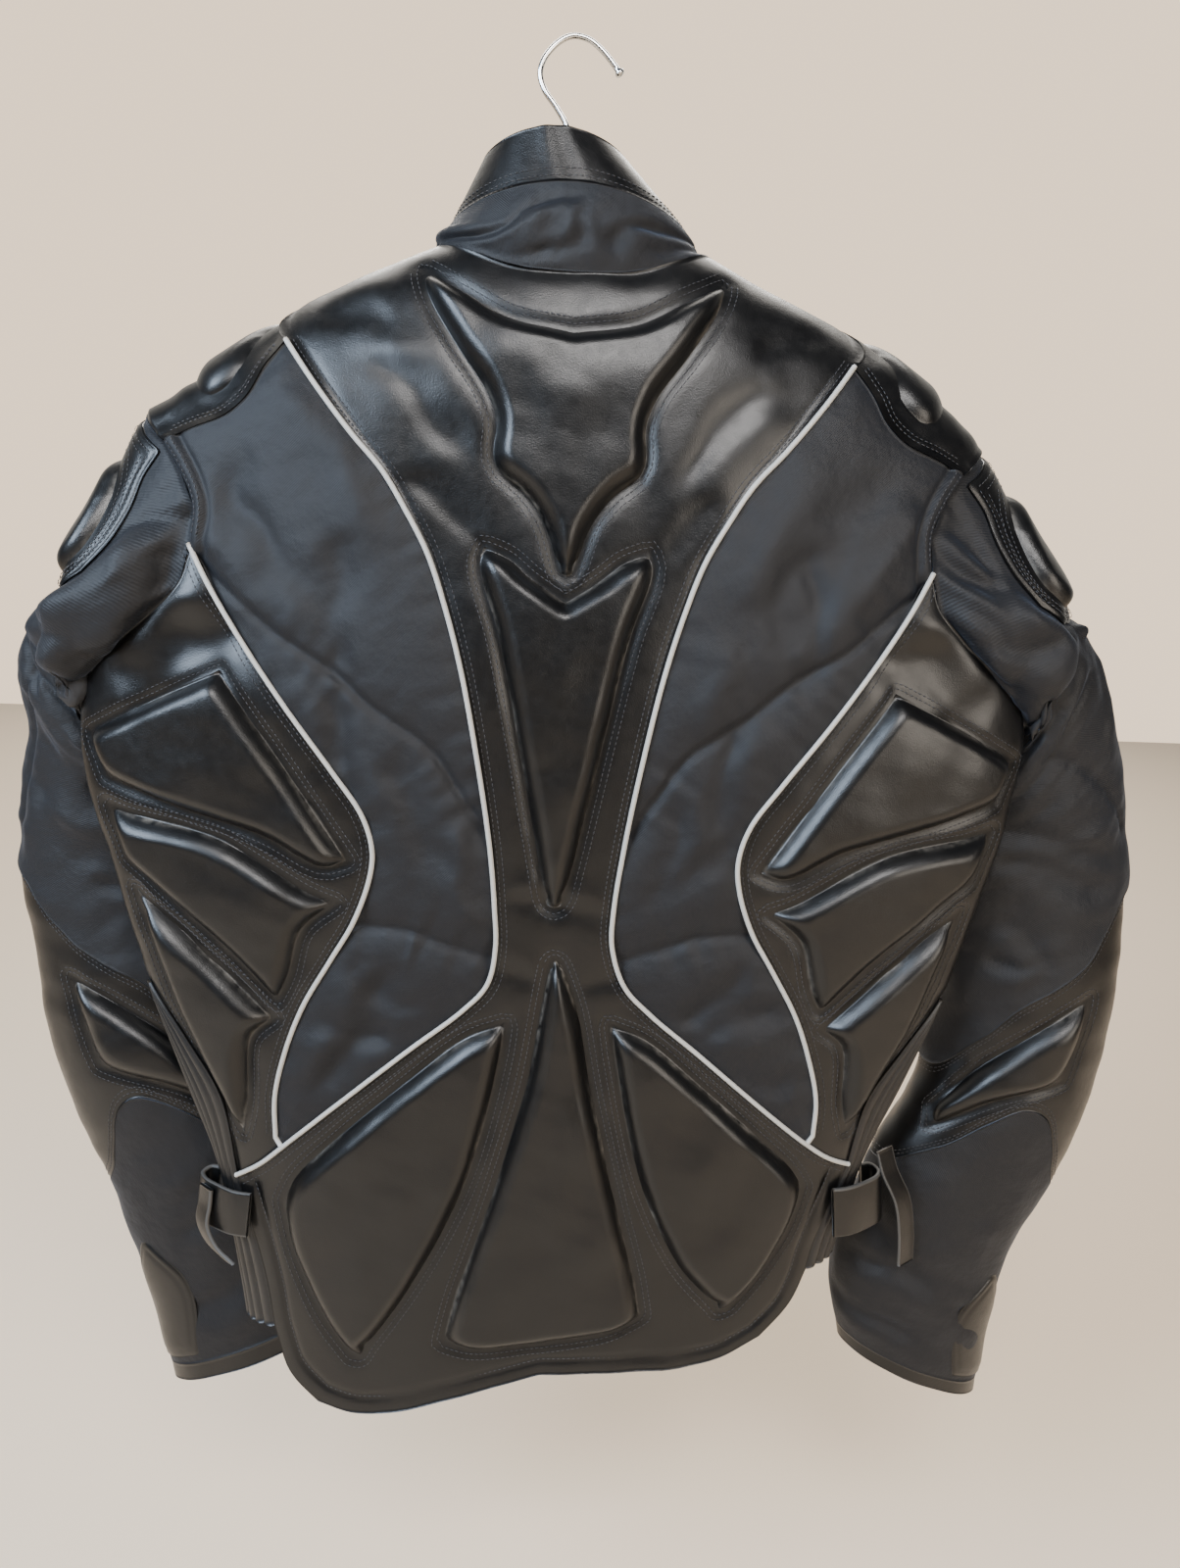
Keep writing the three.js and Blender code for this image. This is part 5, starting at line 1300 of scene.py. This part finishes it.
def pad_piece(name, surface, edges, cols, rows, to_places, height=PAD_HEIGHT, bevel=PAD_BEVEL,
              lift=0.0):
    """A stuffed pad between four edges given in flat millimetres."""
    lines = four_lines(edges, cols, rows)
    flat = coons(**lines)
    grid = to_places(flat)
    base, normal = surface.point(grid), surface.normal(grid)
    shape = pad_height(flat, lines, height, bevel)
    shape = shape + 0.7 * ripple(flat, 50, 311) + 0.12 * ripple(flat, 20, 312)
    shape[[0, -1]] = PAD_FOOT
    shape[:, [0, -1]] = PAD_FOOT
    outside = base + normal * (shape + lift)[..., None]
    inner = base + normal * (PAD_FOOT - 0.8 + lift)
    obj = shell(name, outside, inner, [MATERIALS["leather"], MATERIALS["lining"]], flat,
                wear_and_highlight=pad_wear_and_highlight(flat, lines))
    own(obj, "leather", name)


# Columns and rows of the centre pads' grids, and of the two waist pads'
PAD_GRIDS = {"pad_upper": (90, 90), "pad_middle": (50, 110), "pad_tail": (60, 130)}
WAIST_GRID = (60, 110)
for pad_name, edges in BACK_PADS.items():
    pad_piece(pad_name, BODY_SURFACE, edges, *PAD_GRIDS.get(pad_name, WAIST_GRID), places_on)
for side_name, side_sign in SIDES:
    for pad_name, edges in SIDE_PADS[side_name].items():
        pad_piece(pad_name, BODY_SURFACE, edges, 70, 50, places_on)

# Edges of the shoulder pad, as (turn, drop) places
SHOULDER_PAD = {
    "top": [(0.84, 172), (1, 165), (1.1, 167)],
    "bottom": [(0.6, 221), (0.66, 217), (0.8, 208), (1, 200), (1.1, 196)],
    "left": [(0.84, 172), (0.72, 186), (0.63, 198), (0.59, 210), (0.6, 221)],
    "right": [(1.1, 167), (1.12, 182), (1.1, 196)],
}
SHOULDER_SCALE = np.array([110.0, 1.0])   # millimetres of one turn and of one unit of drop


def shoulder_pad(side, sign):
    """The pad that stands astride the shoulder line."""
    edges = {key: np.array(line) * SHOULDER_SCALE for key, line in SHOULDER_PAD.items()}
    pad_piece(f"pad_shoulder_{side}", BODY_SURFACE, edges, 50, 40,
              lambda flat: mirrored(flat / SHOULDER_SCALE, sign),
              height=4.5, bevel=9, lift=SHOULDER_SETTLE[side] + 1.0)


def on_tube(flat):
    return flat / SLEEVE_MM


def patch_piece(name, surface, edges, cols, rows, lift):
    """Leather laid over a sleeve, its rim turned down onto the sleeve."""
    lines = four_lines(edges, cols, rows)
    flat = coons(**lines)
    away = soft_least([distance_to(flat, line)[0] for line in lines.values()], 1.5)
    rise = lift * (1 - np.exp(-np.maximum(away, 0) / 1.6)) + 0.4 * ripple(flat, 45, 321)
    stitched = -0.5 * bell(away, 1.6, 4.5)
    cloth_panel(name, surface, on_tube(flat), MATERIALS["leather"], rise + stitched, 1.4)


CAP_LIFT = 1.8
for side_name, side_sign in SIDES:
    shoulder_pad(side_name, side_sign)
    tube = SLEEVE_SURFACE[side_name]
    patch_piece(f"sleeve_cap_{side_name}", tube, sleeve_edges(CAP_EDGES), 100, 60, CAP_LIFT)
    patch_piece(f"cuff_gusset_{side_name}", tube, sleeve_edges(GUSSET_EDGES), 40, 40, 2.0)
    pad_piece(f"pad_elbow_{side_name}", tube,
              sleeve_edges(ELBOW_PAD_EDGES, ELBOW_SHIFT[side_name]), 70, 50, on_tube)
    pad_piece(f"pad_cap_{side_name}", tube, sleeve_edges(CAP_PAD_EDGES), 50, 70, on_tube,
              height=6.0, bevel=9, lift=CAP_LIFT + 0.8)


# ------------------------------------------------------------------ tubes, ribbons and small solids
def sweep(name, rings, materials, slots=None):
    """A closed solid through rings of points, with flat ends."""
    rings = np.asarray(rings, float)
    rows, count = rings.shape[:2]
    ids = np.arange(rows * count).reshape(rows, count)
    faces = grid_faces(ids, True).tolist() + [ids[0].tolist(), ids[-1][::-1].tolist()]
    sides = np.zeros(len(faces), int)
    if slots is not None:
        sides[:(rows - 1) * count] = np.tile(slots, rows - 1)
    obj = make_object(name, rings, faces, materials, sides)
    turn_outwards(obj)
    return obj


def frame_along(path):
    along = np.gradient(path, axis=0)
    return along / np.linalg.norm(along, axis=-1, keepdims=True)


def tube_rings(path, up, radius, sides=10):
    """Rings of a round tube along a path. up gives one direction across it."""
    along = frame_along(path)
    across = np.cross(along, up)
    across = across / np.linalg.norm(across, axis=-1, keepdims=True)
    high = np.cross(across, along)
    angle = np.linspace(0, 2 * np.pi, sides, endpoint=False)
    radius = np.broadcast_to(radius, len(path))[:, None, None]
    return path[:, None] + radius * (across[:, None] * np.cos(angle)[None, :, None]
                                     + high[:, None] * np.sin(angle)[None, :, None])


def piping_piece(name, line, sign):
    """Piping along a seam of the back, half sunk between the two panels."""
    places = places_on(mirrored(line, sign))
    path = BODY_SURFACE.point(places) + BODY_SURFACE.normal(places) * PIPING_RAISE
    rings = tube_rings(path, BODY_SURFACE.normal(places), PIPING_RADIUS)
    obj = sweep(name, rings, [MATERIALS["piping"]])
    return own(obj, "piping", name)


PIPINGS = {}
for side_name, side_sign in SIDES:
    long_line = join(steps(LINES["piping_long"], 240), steps(LINES["piping_tail"], 16))
    short_line = np.vstack([steps(LINES["piping_short"], 180), SIDE_FOOT[:1]])
    PIPINGS[side_name] = (piping_piece(f"piping_long_{side_name}", long_line, side_sign),
                          piping_piece(f"piping_short_{side_name}", short_line, side_sign))


# ------------------------------------------------------------------ stitching
THREAD_SIDES = 4
THREAD_RINGS = ((-0.5, 0.3), (0, 1.1), (0.5, 0.3))    # place along a stitch, and its thickness
PITCH, THREAD_LONG, THREAD_THICK = 3.4, 2.6, 0.34
THREAD_AHEAD = 0.8               # a thread points to the place this far along its row
THREAD_LIFT, THREAD_RAISE = 0.2, 0.1      # how far it stands out, in radii and in mm


def thread_faces():
    """The faces of one stitch: its sides, then its two ends."""
    ring = np.arange(THREAD_SIDES)
    side = np.stack([ring, np.roll(ring, -1)], -1)
    side = np.concatenate([side, side[:, ::-1] + THREAD_SIDES], -1)
    sides = [side + THREAD_SIDES * k for k in range(len(THREAD_RINGS) - 1)]
    return np.vstack(sides + [ring[::-1], ring + THREAD_SIDES * (len(THREAD_RINGS) - 1)])


def stitches(name, rows):
    """One object of small threads. rows holds (points, normals) lines in mm."""
    angles = [2 * math.pi * k / THREAD_SIDES for k in range(THREAD_SIDES)]
    corners = [(share, width, math.cos(angle), math.sin(angle) * 0.8 + THREAD_LIFT)
               for share, width in THREAD_RINGS for angle in angles]
    points = []
    for path, normal in rows:
        length = length_along(path)
        at = np.arange(PITCH / 2, length[-1] - PITCH / 2, PITCH)
        middle, up = read_at(path, length, at), read_at(normal, length, at)
        ahead = read_at(path, length, at + THREAD_AHEAD)
        along = (ahead - middle) / np.linalg.norm(ahead - middle, axis=-1, keepdims=True)
        across = np.cross(along, up)
        points.append(np.stack([
            middle + along * share * THREAD_LONG + THREAD_THICK * width * (across * c + up * s)
            for share, width, c, s in corners], 1).reshape(-1, 3))
    points = np.concatenate(points)
    first = np.arange(0, len(points), len(corners))
    faces = (thread_faces() + first[:, None, None]).reshape(-1, THREAD_SIDES).tolist()
    obj = make_object(name, points, faces, [MATERIALS["thread"]])
    turn_outwards(obj)
    return own(obj, None)


def offset(line, away):
    """A flat line moved sideways, to its right as it runs where away is positive."""
    along = frame_along(line)
    return line + away * np.stack([-along[:, 1], along[:, 0]], -1)


def on_surface(surface, relief, flat, to_places):
    """Points and normals on a panel's outside, along a flat line."""
    places = to_places(flat)
    normal = surface.normal(places)
    raised = relief(flat) + THREAD_RAISE
    return surface.point(places) + normal * raised[:, None], normal


KEEP_AWAY = 0.93                 # the share of the distance that a grown outline must keep


def grown(outline, away):
    """A closed flat outline grown outwards by some millimetres, evenly spaced and rounded."""
    ring = even_steps(outline, 360)[:-1]
    area = 0.5 * np.sum(ring[:, 0] * np.roll(ring[:, 1], -1) - np.roll(ring[:, 0], -1) * ring[:, 1])
    ahead, behind = np.roll(ring, -3, axis=0), np.roll(ring, 3, axis=0)
    along = (ahead - behind) / np.linalg.norm(ahead - behind, axis=1, keepdims=True)
    out = np.stack([along[:, 1], -along[:, 0]], -1) * np.sign(area)
    moved = ring + out * away
    moved = moved[distance_to(moved, outline)[0] > abs(away) * KEEP_AWAY]
    return np.vstack([moved, moved[:1]])


RUN_BREAK, RUN_LEAST = 9.0, 4    # a jump that ends a run, and the points that one must pass


def sewn_rows(lines, relief, surface=BODY_SURFACE, to_places=places_on):
    """The stitched runs of flat lines, each cut where it jumps."""
    rows = []
    for line in lines:
        jumps = np.where(np.linalg.norm(np.diff(line, axis=0), axis=1) > RUN_BREAK)[0] + 1
        rows += [on_surface(surface, relief, run, to_places)
                 for run in np.split(line, jumps) if len(run) > RUN_LEAST]
    return rows


ROUND_PADS = (3.6, 7.0)          # two rows of stitches, so far from a pad
BY_PIPING = (3.6, 6.8)
# The edge of the side panel, within which its stitches stay
SIDE_LIMIT = {
    "top": LINES["arm_lower"], "bottom": [(178, 682), (207, 712)], "left": LINES["piping_short"],
    "right": [(303, 396), (300, 460), (266, 588), (238, 624), (216, 660), (207, 712)],
}
LIMIT_STEPS = {"top": 30, "bottom": 1, "left": 60, "right": 40}


def back_stitching():
    lines = []
    for edges in BACK_PADS.values():
        others = [outline_of(e) for e in BACK_PADS.values() if e is not edges]
        for away in ROUND_PADS:
            ring = grown(outline_of(edges), away)
            lines.append(ring[~np.any([inside(ring, other) for other in others], axis=0)])
    seam = join(steps(LINES["piping_long"], 220), steps(LINES["piping_tail"], 20))
    lines += [mirrored(offset(seam, away), sign) for _, sign in SIDES for away in BY_PIPING]
    lines.append(grown(TAIL_RIM, -HEM_ROW))
    return sewn_rows(lines, back_centre_relief)


def side_stitching(side, sign):
    """Double rows round the pads of one side panel and along its piping."""
    limit = outline_of({key: steps(line, LIMIT_STEPS[key]) for key, line in SIDE_LIMIT.items()})
    rings = [grown(outline_of(edges), away)
             for edges in SIDE_PADS[side].values() for away in ROUND_PADS]
    lines = [ring[inside(mirrored(ring, sign), limit)] for ring in rings]
    seam = steps(LINES["piping_short"], 220)
    lines += [mirrored(offset(seam, -away), sign) for away in BY_PIPING]
    return sewn_rows(lines, side_relief(side, sign))


def sleeve_stitching(side):
    """Double rows round the elbow's pad and along both edges of its leather."""
    ring = outline_of(sleeve_edges(ELBOW_PAD_EDGES, ELBOW_SHIFT[side]))
    lines = [grown(ring, away) for away in ROUND_PADS]
    around = np.linspace(0, 360, 300)
    for edge, shift in (("top", 0.08), ("top", 0.15), ("low", -0.08), ("low", -0.15)):
        along = elbow_edge(side, edge)(around) + shift
        lines.append(np.stack([around * AROUND_MM, along * ALONG_MM], -1))
    return sewn_rows(lines, sleeve_elbow_relief(side), SLEEVE_SURFACE[side], on_tube)


def shoulder_stitching(side, sign):
    """Double rows on the lower edge of a shoulder patch."""
    seam = steps(LINES["patch_back"], 60)
    lines = [mirrored(offset(seam, away)[3:-3], sign) for away in (-3.4, -6.4)]
    return sewn_rows(lines, shoulder_relief(side, sign))


def binding_stitching(side, sign):
    seam = steps(LINES["arm_upper"], 50)
    lines = [mirrored(offset(seam, away)[2:-2], sign) for away in (2.6, 6.2)]
    return sewn_rows(lines, back_textile_relief(side, sign))


def cap_stitching(side):
    cap, pad = (outline_of(sleeve_edges(edges)) for edges in (CAP_EDGES, CAP_PAD_EDGES))
    lines = [grown(cap, away) for away in (-3.0, -6.0)] + [grown(pad, away) for away in (3.4, 6.4)]
    return sewn_rows(lines, cap_lift, SLEEVE_SURFACE[side], on_tube)


def cap_lift(flat):
    return np.full(flat.shape[:-1], CAP_LIFT + 0.2)


COLLAR_THREADS = 400             # places along each row of the collar


def collar_stitching():
    columns = np.linspace(-NECK_STEPS + 0.2, NECK_STEPS - 0.2, COLLAR_THREADS)
    rows = []
    for along in (2.12, 2.26):
        flat = collar_flat(np.stack([columns, np.full(COLLAR_THREADS, along)], -1))
        rows.append(on_surface(COLLAR_SURFACE, band_relief, flat, lambda f: f / COLLAR_MM))
    return rows


# What is sewn on each sheet, by the sheet's name
SEWN_ON = {
    "back_centre": (stitches("stitches_back", back_stitching()),),
    "collar_band": (stitches("stitches_collar", collar_stitching()),),
}
for side_name, side_sign in SIDES:
    SEWN_ON[f"shoulder_patch_{side_name}"] = (
        stitches(f"stitches_patch_{side_name}", shoulder_stitching(side_name, side_sign)),)
    SEWN_ON[f"back_textile_{side_name}"] = PIPINGS[side_name] + (
        stitches(f"stitches_binding_{side_name}", binding_stitching(side_name, side_sign)),)
    SEWN_ON[f"sleeve_cap_{side_name}"] = (
        stitches(f"stitches_cap_{side_name}", cap_stitching(side_name)),)
for side_name, side_sign in SIDES:
    SEWN_ON[f"side_leather_{side_name}"] = (
        stitches(f"stitches_side_{side_name}", side_stitching(side_name, side_sign)),)
    SEWN_ON[f"sleeve_elbow_{side_name}"] = (
        stitches(f"stitches_sleeve_{side_name}", sleeve_stitching(side_name)),)


# ------------------------------------------------------------------ straps at the waist
STRAPS = {
    "waist_tab_right": {
        "across": (0.1, 0, -1), "width": 36, "thick": 3,
        "path": [(201, -48, 736), (213, -45, 736), (227, -37, 736), (238, -28, 736),
                 (241, -20, 736), (236.5, -14, 735), (229, -16, 735)]},
    "waist_tab_left": {
        "across": (0.1, 0, 1), "width": 32, "thick": 3,
        "path": [(-193, -48, 744), (-205, -45, 744), (-218, -37, 744), (-229, -28, 744),
                 (-233, -20, 744), (-229, -14, 743), (-222.8, -15, 743)]},
    "hanging_strap_right": {
        "across": (0.8, 0.6, 0), "width": 17, "thick": 2.6,
        "path": [(241.4, -22, 702), (245.8, -24, 717), (257, -25, 740), (262, -24, 764),
                 (264, -23, 789)]},
    "curled_strap_left": {
        "across": (-0.74, 0.67, 0), "width": 14, "thick": 2.6,
        "path": [(-224.6, -35.4, 731), (-225.6, -35.6, 742), (-227, -38, 756), (-220, -43, 768),
                 (-207, -50, 776)]},
}


# Round a strap's section: share of the half width, inset in mm and share of the half thickness
STRAP_SECTION = [
    (-1, 0, -0.5), (-1, 0.6, -0.9), (-1, 1.6, -1), (0, 0, -1.12), (1, -1.6, -1), (1, -0.6, -0.9),
    (1, 0, -0.5), (1, 0, 0.5), (1, -0.6, 0.9), (1, -1.6, 1), (0, 0, 1.12), (-1, 1.6, 1),
    (-1, 0.6, 0.9), (-1, 0, 0.5),
]


def strap(name, row):
    """A leather strap with rounded, paler edges."""
    path = np.array(row["path"], float) * np.array([1, 1, -1])
    path = steps(path, 48)
    across = np.array(row["across"], float)
    across = across / np.linalg.norm(across)
    along = frame_along(path)
    normal = np.cross(along, across)
    normal = normal / np.linalg.norm(normal, axis=-1, keepdims=True)
    wide, thick = row["width"] / 2, row["thick"] / 2
    rings = [[p + across * (side * wide + inset) + n * (level * thick)
              for side, inset, level in STRAP_SECTION] for p, n in zip(path, normal)]
    slots = [1 if side and abs(inset) < 1 else 0 for side, inset, _ in STRAP_SECTION]
    obj = sweep(name, rings, [MATERIALS["leather"], MATERIALS["edge"]], slots)
    own(obj, "leather", name)
    return obj


for strap_name, strap_row in STRAPS.items():
    strap(strap_name, strap_row)


# ------------------------------------------------------------------ the front zip
ZIP_TOP, SLIDER_DROP, PULL_LONG = 182.0, 188.0, 30.0


TOOTH, TOOTH_PITCH = (3.8, 1.8, 1.2), 1.5
BOX_FACES = [(0, 1, 3, 2), (4, 6, 7, 5), (0, 4, 5, 1), (2, 3, 7, 6), (0, 2, 6, 4), (1, 5, 7, 3)]


def box_corners(size):
    x, y, z = (s / 2 for s in size)
    return np.array([(a * x, b * y, c * z) for a in (-1, 1) for b in (-1, 1) for c in (-1, 1)])


def zip_tape():
    drop = np.linspace(ZIP_TOP, FRONT_HEM - 2, 121)
    edge = turn_at(ZIP_HALF, drop, True)
    share = np.linspace(0, 1, 9)
    turn = edge[:, None] * (1 - share) + (4 - edge[:, None]) * share
    grid = np.stack([turn, np.broadcast_to(drop[:, None], turn.shape)], -1)
    cloth_panel("zip", BODY_SURFACE, grid, MATERIALS["thread"], 0.0, 1.6, slot_name="zip_metal")


def zip_teeth():
    """Two rows of teeth that mesh along the middle of the front."""
    points, faces = [], []
    for i, drop in enumerate(np.arange(SLIDER_DROP + 8, FRONT_HEM - 6, TOOTH_PITCH)):
        side = 1 if i % 2 else -1
        middle = body_point(np.array([2.0, drop])) + np.array([side * 1.3, 1.0, 0])
        base = len(points)
        points.extend(middle + box_corners(TOOTH))
        faces.extend(tuple(base + k for k in face) for face in BOX_FACES)
    obj = make_object("zip_teeth", np.array(points), faces, [MATERIALS["zip_metal"]])
    turn_outwards(obj)
    own(obj, "zip_metal")


def block(name, size, middle, material, bevel, body_name):
    """A block with rounded edges."""
    obj = make_object(name, middle + box_corners(size), BOX_FACES, [material])
    turn_outwards(obj)
    rounding = obj.modifiers.new("rounding", "BEVEL")
    rounding.width = bevel * MM
    rounding.segments = 3
    own(obj, "zip_metal", name, body_name=body_name)
    return obj


zip_tape()
zip_teeth()
slider_middle = body_point(np.array([2.0, SLIDER_DROP])) + np.array([0, 3.4, 0])
block("zip_slider", (11, 5, 13), slider_middle, MATERIALS["zip_metal"], 1.2, "jacket")
block("zip_pull", (7, 2, PULL_LONG), slider_middle + np.array([0, 4.2, 3 - PULL_LONG / 2]),
      MATERIALS["zip_metal"], 0.8, "zip_pull")


# ------------------------------------------------------------------ the hanger
HOOK = [(1, 118.15), (0, 85), (-3, 51), (-10, 39), (-18, 29), (-21, 20), (-19, 12), (-12, 3.5),
        (-5, -0.8), (0, -1.7), (8, 0), (16, 5.5), (22, 11.5), (25.5, 15.5)]
WIRE_RADIUS = 1.7
# x, drop of the top edge, half the depth and half the height of one arm
ARMS = [(0, 118, 7, 9), (45, 120, 7, 9), (85, 126, 7, 9), (125, 144, 7, 9), (158, 160, 7, 9),
        (185, 176, 6.5, 8), (203, 192, 5, 5)]


def hanger_hook():
    path = np.array([(x, 0, -drop) for x, drop in HOOK], float)
    path = steps(path, 120)
    tip = path[-1] + frame_along(path)[-1] * np.array([1.4, 2.6, 3.4, 3.6])[:, None]
    path = np.vstack([path, tip])
    radius = np.concatenate([np.full(121, WIRE_RADIUS), [2.8, 2.9, 2.2, 0.6]])
    rings = tube_rings(path, np.array([[0.0, 1.0, 0.0]]), radius, 20)
    return own(sweep("hanger_hook", rings, [MATERIALS["chrome"]]), "chrome", "hanger_hook")


def hanger_arms():
    rows = np.array([(-x, *rest) for x, *rest in ARMS[:0:-1]] + ARMS, float)
    rows = steps(rows, 96)
    angle = np.linspace(0, 2 * np.pi, 32, endpoint=False)
    rings = [[(x + GARMENT_X, deep * math.cos(a), -top - tall + tall * math.sin(a)) for a in angle]
             for x, top, deep, tall in rows]
    obj = sweep("hanger_arms", rings, [MATERIALS["hanger_plastic"]])
    return own(obj, "hanger_plastic", "hanger_arms")


hanger_hook()
hanger_arms()


# ------------------------------------------------------------------ floor, lights and world
FLOOR_Z = -1.15


def floor():
    size = 6.0
    mesh = bpy.data.meshes.new("floor")
    mesh.from_pydata([(-size, -size, FLOOR_Z), (size, -size, FLOOR_Z), (size, size, FLOOR_Z),
                      (-size, size, FLOOR_Z)], [], [(0, 1, 2, 3)])
    mesh.materials.append(plain_material("floor", (0.74, 0.61, 0.47), 0.9))
    obj = bpy.data.objects.new("floor", mesh)
    bpy.context.scene.collection.objects.link(obj)


def area_light(name, at, target, size, power, color):
    data = bpy.data.lights.new(name, "AREA")
    data.shape = "RECTANGLE"
    data.size, data.size_y = size
    data.energy = power
    data.color = color
    at, target = np.array(at, float), np.array(target, float)
    ahead = (target - at) / np.linalg.norm(target - at)
    level = np.cross(ahead, [0.0, 0.0, 1.0])
    level = level / np.linalg.norm(level)
    put(data, at, level, np.cross(level, ahead), -ahead)


WALL_SEEN = (1.65, 1.3, 0.95, 1.0)
DIM_SIDE, BRIGHT_SIDE = (0.035, 0.042, 0.055, 1.0), (1.0, 0.94, 0.84, 1.0)


def world():
    """A pale backdrop for the camera. The jacket is lit from a bright side and a dim side."""
    made = bpy.data.worlds.new("studio")
    bpy.context.scene.world = made
    made.use_nodes = True
    n = Nodes(made)
    seen = n.tree.nodes["Background"]
    seen.inputs["Color"].default_value = WALL_SEEN
    place = n.add("ShaderNodeTexCoord")
    split = n.add("ShaderNodeSeparateXYZ", {"Vector": place.outputs["Generated"]})
    share = n.add("ShaderNodeMapRange", {"Value": split.outputs["Y"]}, From_Min=0.15, From_Max=0.75)
    blend = n.add("ShaderNodeMix", {"Factor": share.outputs["Result"]}, data_type="RGBA",
                  A=DIM_SIDE, B=BRIGHT_SIDE)
    around = n.add("ShaderNodeBackground", {"Color": blend.outputs["Result"]})
    path = n.add("ShaderNodeLightPath")
    mix = n.add("ShaderNodeMixShader", {
        "Fac": path.outputs["Is Camera Ray"], 1: around.outputs["Background"],
        2: seen.outputs["Background"]})
    n.link(mix.outputs["Shader"], n.tree.nodes["World Output"].inputs["Surface"])


# Each light: place, target, size, watts and colour. The washes light the floor behind the jacket.
WASH = (1.0, 0.95, 0.88)
LIGHTS = {
    "window": ((-1.2, -1.0, 0.35), (-0.1, 0, -0.4), (1.0, 0.9), 62, (0.68, 0.82, 1.0)),
    "room": ((1.15, -1.4, -0.2), (0.05, 0, -0.6), (1.0, 1.0), 22, (1.0, 0.9, 0.78)),
    "top": ((0.1, -1.5, 0.85), (0, 0, -0.4), (0.9, 0.6), 34, (1.0, 0.97, 0.95)),
    "wash": ((0, 1.9, 2.0), (0, 1.95, FLOOR_Z), (3.2, 2.4), 95, WASH),
    "wash_far": ((0, 5.0, 3.3), (0, 5.05, FLOOR_Z), (4.0, 1.8), 260, WASH),
}
floor()
for light_name, light in LIGHTS.items():
    area_light(light_name, *light)
world()
